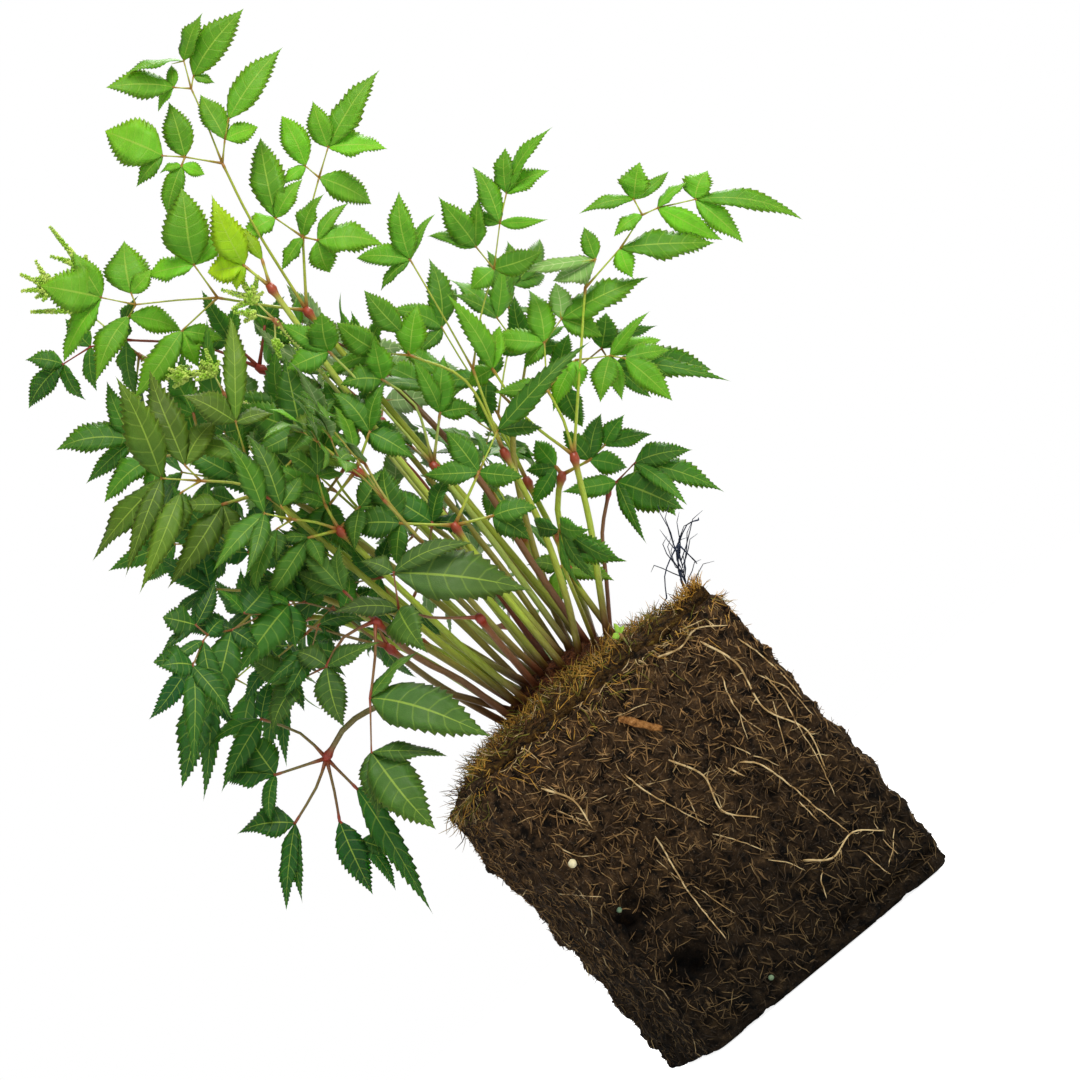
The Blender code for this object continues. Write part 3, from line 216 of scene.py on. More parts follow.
                spray([(3.5, 31.7)], [(3.4, 34.0, 1.1), (6.1, 33.9, 1.3)])])],
    },
    "leaf_centre": {
        "foot": (0.6, -0.3), "stem": [(0.9, 22.0), (1.0, 26.6)], "back": -0.7, "lean": (0.0, -0.2),
        "sprays": [
            spray([(2.0, 29.0), (1.6, 30.7)], [(0.1, 31.7, 1.3), (2.4, 32.2, 1.2)]),
            spray([(0.8, 31.0), (0.6, 33.0)], [(1.4, 34.4, 1.4), (-1.2, 33.6, 1.2), (-0.2, 35.2, 0.9)]),
            spray([(2.6, 28.1)], [(4.3, 29.9, 1.2), (3.9, 27.3, 0.9), (3.2, 30.3, 0.8)])],
    },
    "leaf_right": {
        "foot": (2.1, -0.5), "stem": [(3.3, 18.3), (4.6, 20.5), (5.86, 23.1)],
        "back": -1.6, "lean": (0.03, 0.0),
        "sprays": [
            spray([(8.0, 25.4), (10.7, 28.3)], [], [
                spray([(11.8, 28.95)], [(9.8, 29.4, 1.4), (12.3, 30.4, 0.8), (8.8, 30.6, 0.6)]),
                spray([(12.9, 28.65)], [(16.2, 26.35, 1.4), (12.5, 27.3, 0.9)], [
                    spray([(14.5, 29.15)], [(13.0, 29.3, 0.8)], [
                        spray([(14.65, 29.9)], [(15.7, 31.0, 1.4), (12.6, 31.0, 0.7), (16.6, 29.95, 0.5)]),
                        spray([(15.2, 29.0)], [(16.45, 26.15, 1.0), (16.9, 29.1, 0.6)], [
                            spray([(16.7, 28.3)],
                                  [(17.9, 29.1, 1.4), (17.2, 25.6, 1.0), (19.9, 25.05, 0.9)])])])])]),
            spray([(6.45, 24.5), (6.75, 26.0)], [(4.9, 27.3, 0.9)], [
                spray([(7.9, 27.6)], [(9.0, 29.9, 1.2), (6.1, 29.4, 1.1), (6.5, 27.4, 0.8)], [
                    spray([(9.1, 27.95)], [(13.15, 27.1, 1.5), (9.9, 29.3, 1.0), (10.0, 26.3, 1.1)])]),
                spray([(8.45, 26.2)], [(7.7, 25.1, 0.9), (6.3, 25.2, 0.9)], [
                    spray([(9.7, 25.4)],
                          [(12.2, 25.8, 0.7), (8.1, 24.2, 1.2), (12.0, 24.7, 0.8), (8.8, 23.6, 0.8)], [
                        spray([(10.1, 24.9)], [(10.5, 22.2, 1.1), (11.9, 24.0, 0.8)])])])]),
            spray([(5.3, 25.6), (5.5, 28.1)], [(6.0, 31.0, 1.0), (4.2, 28.6, 0.9), (6.9, 29.4, 0.9)])],
    },
    "leaf_low_right": {
        "foot": (2.15, 0.8), "stem": [(3.6, 18.2), (4.75, 19.9), (6.1, 21.1)], "back": 0.8, "lean": (0.0, 0.1),
        "sprays": [
            spray([(6.6, 21.2)], [(5.95, 18.9, 0.5), (7.8, 18.95, 1.4), (4.9, 22.2, 0.8)], [
                spray([(7.7, 21.35)],
                      [(7.6, 19.0, 1.1), (9.6, 20.45, 0.9), (9.6, 18.6, 1.0), (8.2, 18.8, 0.6)])])],
    },
    "leaf_low_right_back": {
        "foot": (1.6, 0.6), "stem": [(2.7, 19.4), (3.9, 21.9), (5.0, 22.95)],
        "back": 1.8, "lean": (0.06, 0.1),
        "sprays": [
            spray([(5.0, 23.4)], [(3.85, 24.2, 0.7), (5.0, 24.9, 1.0), (3.1, 22.5, 0.8)]),
            spray([(6.3, 22.7)], [(7.4, 21.4, 1.0), (8.0, 24.0, 0.9), (6.2, 24.4, 0.9)], [
                spray([(7.2, 22.8)], [(9.1, 21.95, 0.9), (8.7, 23.3, 0.8)])])],
    },
    "leaf_low_front": {
        "foot": (2.35, 0.05), "stem": [(2.5, 18.6), (2.7, 19.7)], "back": 0.3, "lean": (0.1, 0.1),
        "sprays": [
            spray([(3.4, 20.3)], [(4.3, 20.7, 0.6), (4.1, 19.3, 0.7)]),
            spray([(2.4, 19.9)], [(3.9, 18.0, 1.0), (1.4, 18.6, 0.8), (1.5, 20.9, 0.8)])],
    },
}

# Leaves at the back and sides: the habit of a front leaf, turned about its foot (degrees) and sized
backLeaves = {
    "leaf_side_right": {"like": "leaf_mid_right", "foot": (1.55, 1.15), "turn": 40, "size": 0.86},
    "leaf_back_right": {"like": "leaf_right", "foot": (0.6, 1.5), "turn": 78, "size": 0.80},
    "leaf_back_low": {"like": "leaf_low_left", "foot": (-0.5, 1.75), "turn": -108, "size": 0.95},
    "leaf_back_left": {"like": "leaf_right", "foot": (-2.0, 1.6), "turn": -52, "size": 0.72, "mirror": True},
    "leaf_back_tall": {"like": "leaf_olive", "foot": (0.1, 1.3), "turn": -124, "size": 0.96},
    "leaf_side_left": {"like": "leaf_blue", "foot": (-3.1, 0.7), "turn": -32, "size": 0.90},
    "leaf_back_high": {"like": "leaf_mid_right", "foot": (-1.2, 1.5), "turn": 124, "size": 1.00},
    "leaf_front_low": {"like": "leaf_low_right", "foot": (1.5, -1.25), "turn": -62, "size": 0.90},
    "leaf_inner_left": {"like": "leaf_mid_right", "foot": (-1.7, -0.5), "turn": -18, "size": 0.84, "mirror": True},
    "leaf_front_dark": {"like": "leaf_right", "foot": (-3.5, 0.0), "turn": 40, "size": 0.81, "mirror": True},
    "leaf_front_high": {"like": "leaf_olive", "foot": (-2.2, -1.6), "turn": 18, "size": 0.77},
    "leaf_inner_low": {"like": "leaf_low_middle", "foot": (-1.5, -1.1), "turn": -18, "size": 0.87, "mirror": True},
    "leaf_inner_mid": {"like": "leaf_middle", "foot": (-0.7, 1.3), "turn": -14, "size": 1.06},
    "leaf_inner_top": {"like": "leaf_far_left", "foot": (1.3, -0.6), "turn": -54, "size": 0.82},
    "leaf_inner_right": {"like": "leaf_blue", "foot": (0.5, 0.9), "turn": 12, "size": 0.94, "mirror": True},
    "leaf_upper_inner": {"like": "leaf_olive", "foot": (-2.6, 1.2), "turn": -54, "size": 1.03},
    "leaf_left_low": {"like": "leaf_blue", "foot": (-1.8, 1.1), "turn": -12, "size": 0.80},
    "leaf_front_centre": {"like": "leaf_mid_right", "foot": (-1.0, -1.4), "turn": 74, "size": 0.81, "mirror": True},
    "leaf_back_inner": {"like": "leaf_blue", "foot": (0.2, 1.85), "turn": 120, "size": 0.91, "mirror": True},
    "leaf_back_mid": {"like": "leaf_blue", "foot": (1.1, 1.1), "turn": 106, "size": 1.00, "mirror": True},
}

# Flower panicles: foot, front view of the stalk, how far back its top stands, and side branches up the stalk
panicles = {
    "panicle_left": {
        "foot": (-1.3, 0.9), "stem": [(-3.4, 26.0), (-5.0, 34.0), (-5.9, 38.6)],
        "back": 3.6, "lean": (0.0, 0.0),
        "branches": [
            spray([(-7.1, 37.4)], [(-7.6, 36.8, 0.35)]),
            spray([(-4.9, 37.0)], [(-4.6, 36.3, 0.35)]),
            spray([(-6.5, 41.6)], [(-8.4, 43.1, 0.35), (-5.0, 42.9, 0.35)], [
                spray([(-7.0, 43.2)], [(-8.1, 43.9, 0.35), (-6.8, 44.6, 0.35), (-7.7, 44.6, 0.4)]),
                spray([(-5.4, 43.2)], [(-5.4, 45.4, 0.4), (-6.2, 44.4, 0.35)])])],
    },
    "panicle_middle": {
        "foot": (-0.2, 0.0), "stem": [(-0.2, 24.0), (-0.2, 32.0), (-0.35, 35.6)],
        "back": -0.8, "lean": (0.0, 0.0),
        "branches": [
            spray([(-0.5, 36.9)], [(-1.3, 38.1, 0.45), (-0.3, 38.0, 0.35), (0.3, 37.6, 0.3)]),
            spray([(-0.9, 36.4)], [(-1.5, 37.0, 0.35)]),
            spray([(-0.9, 34.9)], [(-1.2, 34.2, 0.3)])],
    },
    "panicle_low": {
        "foot": (-0.9, 0.1), "stem": [(-1.0, 24.0), (-2.4, 31.0), (-4.0, 34.6)],
        "back": -0.2, "lean": (0.0, 0.0),
        "branches": [
            spray([(-3.8, 35.6)], [(-4.9, 36.5, 0.45), (-3.4, 36.6, 0.35)], [
                spray([(-4.9, 36.2)], [(-5.7, 37.2, 0.4), (-5.2, 37.4, 0.3)])])],
    },
}

# Small growth of other kinds, laid out the same way: thin wiry dead roots, and a seedling at the front edge
trimmings = {
    "dry_root_tuft": {
        "foot": (5.8, -2.2), "stem": [(6.2, 16.5), (6.9, 17.4)], "back": -2.2, "lean": (0.0, 0.0),
        "branches": [
            spray([(7.7, 17.8), (8.2, 17.65)], [(8.5, 18.0, 0.08)]),
            spray([(6.2, 17.1), (5.6, 16.7), (5.1, 15.95)], [(4.5, 15.75, 0.08)]),
            spray([(7.0, 16.4)], [(6.95, 15.7, 0.08)])],
    },
    "seedling": {
        "foot": (2.6, -5.4), "stem": [(2.65, 15.85)], "back": -5.9, "lean": (0.0, 0.0),
        "branches": [spray([(2.6, 15.95)], [(2.25, 16.0, 0.28), (3.0, 16.1, 0.25), (2.7, 16.45, 0.2)])],
    },
}

# How the leaves are laid out and given room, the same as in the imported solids
laying = {
    "tipWander": 0.32, "sprayWander": 0.5, "roll": 18, "arch": 0.07, "widest": 0.40, "neck": 0.0015,
    "bladeRoom": 0.0008, "baseRoom": 1.6, "stalkRoom": 0.0010, "radius": 0.0016, "twigRadius": 0.0005,
    "thinner": 0.62, "bow": 1.5, "tilt": 0.45,
    "thin": {"panicle_left": 0.0010, "panicle_middle": 0.0010, "panicle_low": 0.0010, "leaf_low_right": 0.0010,
             "leaf_front_low": 0.0010, "dry_root_tuft": 0.0005, "seedling": 0.0004},
    "trials": [(roll, push, size) for size in (1.0, 0.8) for roll, push in (
        (0, 0), (18, 0.1), (-18, -0.1), (0, 0.25), (0, -0.25), (35, -0.2), (-35, 0.2), (30, 0.4), (-30, -0.4),
        (0, 0.6), (0, -0.6), (60, 0.1), (-60, -0.1))],
}

# The colour of each leaf's blades: its own green, with painted shade that makes the leaves standing in shade darker
# and greyer; and of its stalk where that isn't the usual yellow-green
leafColourAndShade = {
    "leaf_top": (108, 166, 38), "leaf_young": (162, 201, 24), "leaf_far_left": (58, 102, 35),
    "leaf_upper_left": (65, 112, 35), "leaf_olive": (91, 116, 38), "leaf_blue": (35, 79, 40),
    "leaf_low_left": (35, 81, 32), "leaf_front_left": (71, 102, 46), "leaf_front_mid": (80, 106, 53),
    "leaf_middle": (67, 116, 34), "leaf_low_middle": (63, 106, 34), "leaf_mid_right": (95, 152, 36),
    "leaf_centre": (84, 141, 36), "leaf_right": (102, 161, 38), "leaf_low_right": (71, 123, 38),
    "leaf_low_right_back": (65, 116, 38), "leaf_low_front": (91, 126, 38), "leaf_side_right": (84, 137, 38),
    "leaf_back_right": (80, 130, 38), "leaf_back_low": (52, 97, 34), "leaf_back_left": (45, 86, 33),
    "leaf_back_tall": (67, 110, 34), "leaf_side_left": (41, 83, 36), "leaf_back_high": (90, 141, 38),
    "leaf_front_low": (60, 102, 35), "leaf_inner_left": (56, 104, 34), "leaf_front_dark": (41, 85, 33),
    "leaf_front_high": (71, 114, 37), "leaf_inner_low": (43, 88, 33), "leaf_inner_mid": (60, 106, 34),
    "leaf_inner_top": (90, 146, 38), "leaf_inner_right": (65, 114, 34), "leaf_upper_inner": (58, 104, 35),
    "leaf_left_low": (39, 83, 35), "leaf_front_centre": (78, 120, 35), "leaf_back_inner": (50, 95, 35),
    "leaf_back_mid": (56, 100, 34),
}
# Stalk colours: the brown and olive-brown tones are partly the stalks' own red-brown and partly painted shade
stalkTones = {
    "usual": (158, 180, 54), "foot": (100, 56, 34), "knot": (150, 46, 32), "brown": (126, 92, 50),
    "panicle": (196, 206, 120), "seedling": (170, 190, 110),
    "leaf_far_left": (128, 62, 42), "leaf_young": (170, 188, 74), "leaf_centre": (158, 178, 82),
    "leaf_low_right": (116, 80, 48), "leaf_low_left": (112, 104, 56), "leaf_front_left": (126, 92, 54),
    "leaf_front_mid": (148, 106, 74), "leaf_back_low": (112, 98, 56), "leaf_inner_top": (120, 84, 52),
    "leaf_inner_low": (118, 112, 52), "leaf_front_dark": (120, 104, 54),
}
leafColourAndShade = {name: shade(*tone) for name, tone in leafColourAndShade.items()}
stalkTones = {name: shade(*tone) for name, tone in stalkTones.items()}
# Leaflets that show their pale underside to the front, by their tips
paleSides = {"leaf_right": [(9.8, 29.4), (8.8, 30.6)]}


def treeOfNode(name):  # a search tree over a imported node
    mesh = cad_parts[name].data
    return BVHTree.FromPolygons([vert.co for vert in mesh.vertices], [tuple(face.vertices) for face in mesh.polygons])


def footing(ground, foot):  # the highest point under a stalk's foot, and where the stalk starts, just clear of it
    hits = [tree.ray_cast(Vector((foot[0] * cm, foot[1] * cm, 1.0)), -upward)[:2] for tree in ground]
    hit, normal = max((hit for hit in hits if hit[0] is not None), key=lambda hit: hit[0].z)
    return hit, hit + normal * gap * 2


def layOut(plan, ground, seed):
    pick = random.Random(seed)
    hit, start = footing(ground, plan["foot"])
    footY, footZ = plan["foot"][1], hit.z / cm
    nodeX, nodeZ = plan["stem"][-1]
    leanX, leanZ = plan["lean"]

    def at(x, z, shift=0.0):
        return Vector((x, plan["back"] + leanX * (x - nodeX) + leanZ * (z - nodeZ) + shift, z)) * cm

    def onPetiole(x, z):
        up = max(0.0, (z - footZ) / (nodeZ - footZ))
        return Vector((x, footY + (plan["back"] - footY) * up ** laying["bow"], z)) * cm

    def grow(part, start, shift):
        points = [start] + [at(x, z, shift) for x, z in part["route"]]
        blades = []
        for tipX, tipZ, width in part["leaflets"]:
            tip = at(tipX, tipZ, shift)
            tip.y += pick.uniform(-laying["tipWander"], laying["tipWander"]) * (tip - points[-1]).length
            roll = pick.uniform(-laying["roll"], laying["roll"])
            blades.append({"base": points[-1], "tip": tip, "width": width * cm, "roll": roll})
        stalks = []
        for child in part["sprays"]:
            wander = pick.uniform(-laying["sprayWander"], laying["sprayWander"])
            stalks.append(grow(child, points[-1], shift + wander))
        return {"points": points, "blades": blades, "stalks": stalks}

    petiole = [start] + [onPetiole(x, z) for x, z in plan["stem"]]
    children = plan.get("sprays") or plan["branches"]
    stalks = [grow(child, petiole[-1], 0.0) for child in children]
    facing = Vector((leanX, -1.0, leanZ + laying["tilt"])).normalized()
    return {"points": petiole, "blades": [], "stalks": stalks, "facing": facing}


def turnAbout(stalk, move, spin):
    stalk["points"] = [move @ point for point in stalk["points"]]
    for blade in stalk["blades"]:
        blade["base"] = move @ blade["base"]
        blade["tip"] = move @ blade["tip"]
        blade["width"] *= move.median_scale
    for child in stalk["stalks"]:
        turnAbout(child, move, spin)
    if "facing" in stalk:
        stalk["facing"] = (spin @ stalk["facing"]).normalized()


def layOutBack(back, ground, seed):  # a front leaf turned about its foot and set on its own foot
    laid = layOut(leafPlans[back["like"]], ground, seed)
    spin = Matrix.Rotation(math.radians(back["turn"]), 4, "Z")
    if back.get("mirror"):
        spin = spin @ Matrix.Diagonal((-1, 1, 1, 1))
    home = Matrix.Translation(footing(ground, back["foot"])[1])
    move = home @ spin @ Matrix.Scale(back["size"], 4) @ Matrix.Translation(-laid["points"][0])
    turnAbout(laid, move, spin.to_3x3())
    return laid


def bladeFrame(blade, facing, roll, push):
    base = blade["base"]
    tip = blade["tip"] + facing * push * (blade["tip"] - base).length
    along = tip - base
    length = along.length
    along.normalize()
    side = facing.cross(along)
    if side.length < 0.2:  # the leaflet points at the viewer
        side = upward.cross(along)
    side.normalize()
    side = Matrix.Rotation(math.radians(blade["roll"] + roll), 3, along) @ side
    return {"base": base, "along": along, "side": side, "face": along.cross(side), "length": length,
            "width": blade["width"]}


def bladePoint(place, reach):
    arch = laying["arch"] * 4 * reach * (1 - reach) * place["length"]
    return place["base"] + place["along"] * reach * place["length"] + place["face"] * arch


def bladeSheets(place):  # a leaflet as flat sheets, for testing its room
    middle = bladePoint(place, laying["widest"])
    start = place["base"] + place["along"] * laying["neck"]
    reach = place["side"] * place["width"] * 0.5
    outline = [start, middle + reach, bladePoint(place, 1.0), middle - reach]
    sheets = [outline]
    for push in (-laying["bladeRoom"], laying["bladeRoom"]):
        lifts = [push * laying["baseRoom"], push, push, push]
        sheets.append([point + place["face"] * lift for point, lift in zip(outline, lifts)])
    return sheets


def treeOfSheets(sheets):
    points = [point for sheet in sheets for point in sheet]
    return BVHTree.FromPolygons(points, [tuple(range(i, i + 4)) for i in range(0, len(points), 4)])


def sleeve(start, end, radius):  # a square sleeve round one stretch of stalk, with some room
    along = (end - start).normalized()
    side = along.orthogonal().normalized() * (radius + laying["stalkRoom"])
    up = along.cross(side)
    ring = [side + up, side - up, -side - up, up - side]
    return [[start + ring[i], start + ring[i - 1], end + ring[i - 1], end + ring[i]] for i in range(4)]


def nextRadius(radius):
    return max(laying["twigRadius"], radius * laying["thinner"])


def sleeves(stalk, radius):
    found = []
    for start, end in zip(stalk["points"], stalk["points"][1:]):
        found += sleeve(start, end, radius)
    for child in stalk["stalks"]:
        found += sleeves(child, nextRadius(radius))
    return found


def settleBlades(stalk, facing, others, own):  # gives each leaflet a place clear of the other leaves, and leaves out one that finds none
    placed = []
    for blade in stalk["blades"]:
        for roll, push, size in laying["trials"]:
            place = bladeFrame(blade, facing, roll, push)
            place["length"] *= size
            place["width"] *= size
            sheets = bladeSheets(place)
            trial = treeOfSheets(sheets)
            if not any(trial.overlap(tree) for tree in others + own):
                placed.append((place, sheets))
                break
    stalk["places"] = [place for place, sheets in placed]
    mine = [sheet for place, sheets in placed for sheet in sheets]
    if mine:
        own.append(treeOfSheets(mine))
    for child in stalk["stalks"]:
        settleBlades(child, facing, others, own)


def layOutPlant(ground):
    laid = {}
    for seed, (name, plan) in enumerate(leafPlans.items()):
        laid[name] = layOut(plan, ground, seeds["frontLeaves"] + seed)
    for seed, (name, back) in enumerate(backLeaves.items()):
        laid[name] = layOutBack(back, ground, seeds["backLeaves"] + seed)
    for seed, (name, plan) in enumerate({**panicles, **trimmings}.items()):
        laid[name] = layOut(plan, ground, seeds["others"] + seed)
    stalkTrees = {}
    for name, tree in laid.items():
        tree["radius"] = laying["thin"].get(name, laying["radius"])
        stalkTrees[name] = treeOfSheets(sleeves(tree, tree["radius"]))
    bladeTrees = {}
    for name, tree in laid.items():
        others = ground + [stalkTrees[other] for other in laid if other != name]
        others += [found for other in bladeTrees.values() for found in other]
        bladeTrees[name] = []
        tree["places"] = []
        for stalk in tree["stalks"]:
            settleBlades(stalk, tree["facing"], others, bladeTrees[name])
    return laid


def feed(tree, socket, value):  # a link where the value comes out of another node
    if isinstance(value, bpy.types.NodeSocket):
        tree.links.new(value, socket)
    else:
        socket.default_value = value


def addNode(tree, kind, inputs=None, **settings):  # a shader node with its settings and inputs
    made = tree.nodes.new(kind)
    for name, value in settings.items():
        setattr(made, name, value)
    for name, value in (inputs or {}).items():
        feed(tree, made.inputs[name], value)
    return made


def blend(tree, factor, one, two, way="MIX"):
    one, two = (colour if isinstance(colour, bpy.types.NodeSocket) else (*colour, 1.0) for colour in (one, two))
    return addNode(tree, "ShaderNodeMix", {0: factor, 6: one, 7: two}, data_type="RGBA", blend_type=way).outputs[2]


def calc(tree, operation, *values):
    return addNode(tree, "ShaderNodeMath", dict(enumerate(values)), operation=operation).outputs[0]


def ramp(tree, value, low, high, fromLow=0.0, fromHigh=1.0):  # a smooth step of a value between two levels
    made = addNode(tree, "ShaderNodeMapRange", {"Value": value, "From Min": fromLow, "From Max": fromHigh,
                                               "To Min": low, "To Max": high}, interpolation_type="SMOOTHSTEP")
    return made.outputs[0]


def clouds(tree, place, scale, detail=3.0, roughness=0.5):
    return addNode(tree, "ShaderNodeTexNoise", {"Vector": place, "Scale": scale, "Detail": detail,
                                                "Roughness": roughness}).outputs[0]


def onObject(tree):
    return addNode(tree, "ShaderNodeTexCoord").outputs["Object"]


def attribute(tree, name, output):
    return addNode(tree, "ShaderNodeAttribute", attribute_name=name).outputs[output]


def newMaterial(name, roughness, **plain):
    material = bpy.data.materials.new(name)
    material.use_nodes = True
    shader = material.node_tree.nodes["Principled BSDF"]
    shader.inputs["Roughness"].default_value = roughness
    for key, value in plain.items():
        shader.inputs[key.replace("_", " ")].default_value = value
    return material, material.node_tree, shader


def setSurface(tree, shader, colour, roughness, height, strength, depth):
    bump = addNode(tree, "ShaderNodeBump", {"Height": height, "Strength": strength, "Distance": depth})
    tree.links.new(colour, shader.inputs["Base Color"])
    tree.links.new(roughness, shader.inputs["Roughness"])
    tree.links.new(bump.outputs["Normal"], shader.inputs["Normal"])


def newGroup(name, ins, outs):
    group = bpy.data.node_groups.new(name, "ShaderNodeTree")
    for label, kind, value in ins:
        socket = group.interface.new_socket(name=label, in_out="INPUT", socket_type=kind)
        if value is not None:
            socket.default_value = value
    for label in outs:
        group.interface.new_socket(name=label, in_out="OUTPUT", socket_type="NodeSocketFloat")
    return group, group.nodes.new("NodeGroupInput"), group.nodes.new("NodeGroupOutput")


def putOut(group, out, **values):
    for name, value in values.items():
        group.links.new(value, out.inputs[name])


def useGroup(tree, group, **values):
    return addNode(tree, "ShaderNodeGroup", values, node_tree=group)


# Veins drawn on a leaflet's own map: x across it, y a whole number at each pair of side veins
veinLook = {"sideWidth": 0.10, "midWidth": 0.030, "netWidth": 0.14, "netScale": 1050.0, "spotScale": 260.0}


def makeVeinGroup():
    group, source, out = newGroup(
        "leafVeins", [("Map", "NodeSocketVector", None), ("Place", "NodeSocketVector", None)],
        ["Veins", "Midrib", "Net"])
    split = addNode(group, "ShaderNodeSeparateXYZ", {"Vector": source.outputs["Map"]})
    fromMid = calc(group, "ABSOLUTE", calc(group, "SUBTRACT", split.outputs["X"], 0.5))
    midrib = ramp(group, fromMid, 1.0, 0.0, veinLook["midWidth"] * 0.4, veinLook["midWidth"])
    beat = calc(group, "FRACT", calc(group, "ADD", split.outputs["Y"], 0.5))
    fromVein = calc(group, "ABSOLUTE", calc(group, "SUBTRACT", beat, 0.5))
    side = ramp(group, fromVein, 1.0, 0.0, 0.0, veinLook["sideWidth"])
    cells = addNode(group, "ShaderNodeTexVoronoi", {"Vector": source.outputs["Place"], "Scale": veinLook["netScale"]},
                    feature="DISTANCE_TO_EDGE")
    net = ramp(group, cells.outputs["Distance"], 0.0, 1.0, 0.0, veinLook["netWidth"])
    putOut(group, out, Veins=side, Midrib=midrib, Net=net)
    return group


# Grain for peat, moss and bark: clumps of two sizes and a bump height
grainLook = {"fine": 5.0, "cells": 2.2, "clumpHeight": 0.6, "fineHeight": 0.5, "cellDepth": 0.5}


def makeEarthGroup():
    group, source, out = newGroup(
        "earthGrain", [("Place", "NodeSocketVector", None), ("Scale", "NodeSocketFloat", 300.0)],
        ["Clumps", "Specks", "Height"])
    place, scale = source.outputs["Place"], source.outputs["Scale"]
    clumps = clouds(group, place, scale, 4.0, 0.62)
    fine = clouds(group, place, calc(group, "MULTIPLY", scale, grainLook["fine"]), 3.0, 0.7)
    cells = addNode(group, "ShaderNodeTexVoronoi",
                    {"Vector": place, "Scale": calc(group, "MULTIPLY", scale, grainLook["cells"])}).outputs["Distance"]
    height = calc(group, "ADD", calc(group, "MULTIPLY", clumps, grainLook["clumpHeight"]),
                  calc(group, "MULTIPLY", fine, grainLook["fineHeight"]))
    height = calc(group, "SUBTRACT", height, calc(group, "MULTIPLY", cells, grainLook["cellDepth"]))
    putOut(group, out, Clumps=clumps, Specks=ramp(group, fine, 0.0, 1.0, 0.58, 0.72), Height=height)
    return group


bladeFinish = {
    "upper": {"vein": shade(150, 176, 66), "roughness": 0.50, "veinShare": 0.24, "pale": 0.0},
    "under": {"vein": shade(196, 208, 150), "roughness": 0.62, "veinShare": 0.40, "pale": 0.40},
    "paleTint": shade(160, 182, 128), "midribShare": 0.62, "gloss": 0.22, "bump": 0.45, "depth": 0.0003,
    "netShare": 0.16, "netTone": (0.6, 0.7, 0.5), "spotTone": (0.70, 0.78, 0.75),
    "netHeight": 0.35, "veinDepth": 0.8, "spotHeight": 0.6,
}


def makeBladeMaterial(name, look, veins):
    material, tree, shader = newMaterial(
        name, look["roughness"], Subsurface_Weight=0.15, Subsurface_Scale=0.002, Subsurface_Radius=(0.45, 1.0, 0.15),
        Specular_IOR_Level=bladeFinish["gloss"])
    place = onObject(tree)
    leafMap = addNode(tree, "ShaderNodeUVMap", uv_map="leafMap").outputs[0]
    drawn = useGroup(tree, veins, Map=leafMap, Place=place).outputs
    spots = clouds(tree, place, veinLook["spotScale"])
    body = blend(tree, ramp(tree, spots, 0.0, 0.5, 0.35, 0.75), attribute(tree, "tint", "Color"),
                 bladeFinish["spotTone"], "MULTIPLY")
    body = blend(tree, look["pale"], body, bladeFinish["paleTint"])
    body = blend(tree, calc(tree, "MULTIPLY", drawn["Net"], bladeFinish["netShare"]), body, bladeFinish["netTone"],
                 "MULTIPLY")
    body = blend(tree, calc(tree, "MULTIPLY", drawn["Veins"], look["veinShare"]), body, look["vein"])
    body = blend(tree, calc(tree, "MULTIPLY", drawn["Midrib"], bladeFinish["midribShare"]), body, look["vein"])
    dull = ramp(tree, spots, look["roughness"] - 0.07, look["roughness"] + 0.08, 0.3, 0.7)
    height = calc(tree, "MULTIPLY", drawn["Net"], bladeFinish["netHeight"])
    height = calc(tree, "SUBTRACT", height, calc(tree, "MULTIPLY", drawn["Veins"], bladeFinish["veinDepth"]))
    height = calc(tree, "ADD", height, calc(tree, "MULTIPLY", spots, bladeFinish["spotHeight"]))
    setSurface(tree, shader, body, dull, height, bladeFinish["bump"], bladeFinish["depth"])
    return material


stalkFinish = {"streak": 0.12, "scale": 1500.0, "tone": (0.62, 0.55, 0.45), "bump": 0.35, "depth": 0.0003}


def makeStalkMaterial():
    material, tree, shader = newMaterial("stalkSkin", 0.42, Subsurface_Weight=0.08, Subsurface_Scale=0.002)
    long = addNode(tree, "ShaderNodeMapping", {"Vector": onObject(tree), "Scale": (1.0, 1.0, stalkFinish["streak"])})
    streaks = clouds(tree, long.outputs[0], stalkFinish["scale"])
    body = blend(tree, ramp(tree, streaks, 0.0, 0.5, 0.4, 0.7), attribute(tree, "tint", "Color"),
                 stalkFinish["tone"], "MULTIPLY")
    dull = ramp(tree, streaks, 0.36, 0.55, 0.3, 0.7)
    setSurface(tree, shader, body, dull, streaks, stalkFinish["bump"], stalkFinish["depth"])
    return material


# Earth gets painted shade: darker and cooler towards the bottom, and dark in its hollows
earthLook = {"gloss": 0.10, "strandGloss": 0.20, "shadeBelowHeight": 0.15, "damp": (0.13, 0.18, 0.24),
             "hollow": (0.16, 0.15, 0.14), "dust": (1, 0.9, 0.7)}
earthFinishes = {
    "darkPeat": {"scale": 230.0, "tones": ((20, 16, 12), (60, 46, 32), (104, 80, 53)), "specks": 0.4, "damp": 0.8,
                 "hollow": True},
    "peatCrumb": {"scale": 420.0, "tones": ((30, 22, 15), (70, 52, 35), (110, 83, 54)), "specks": 0.3, "damp": 0.8},
    "mossBed": {"scale": 420.0, "tones": ((24, 17, 10), (66, 48, 24), (106, 88, 38)), "specks": 0.35},
    "crownBark": {"scale": 520.0, "tones": ((34, 20, 14), (80, 46, 28), (120, 80, 52)), "specks": 0.3},
    "chipBark": {"scale": 700.0, "tones": ((92, 60, 32), (138, 96, 54), (174, 132, 84)), "specks": 0.2,
                 "roughness": 0.8, "bump": 0.5, "depth": 0.0005},
}
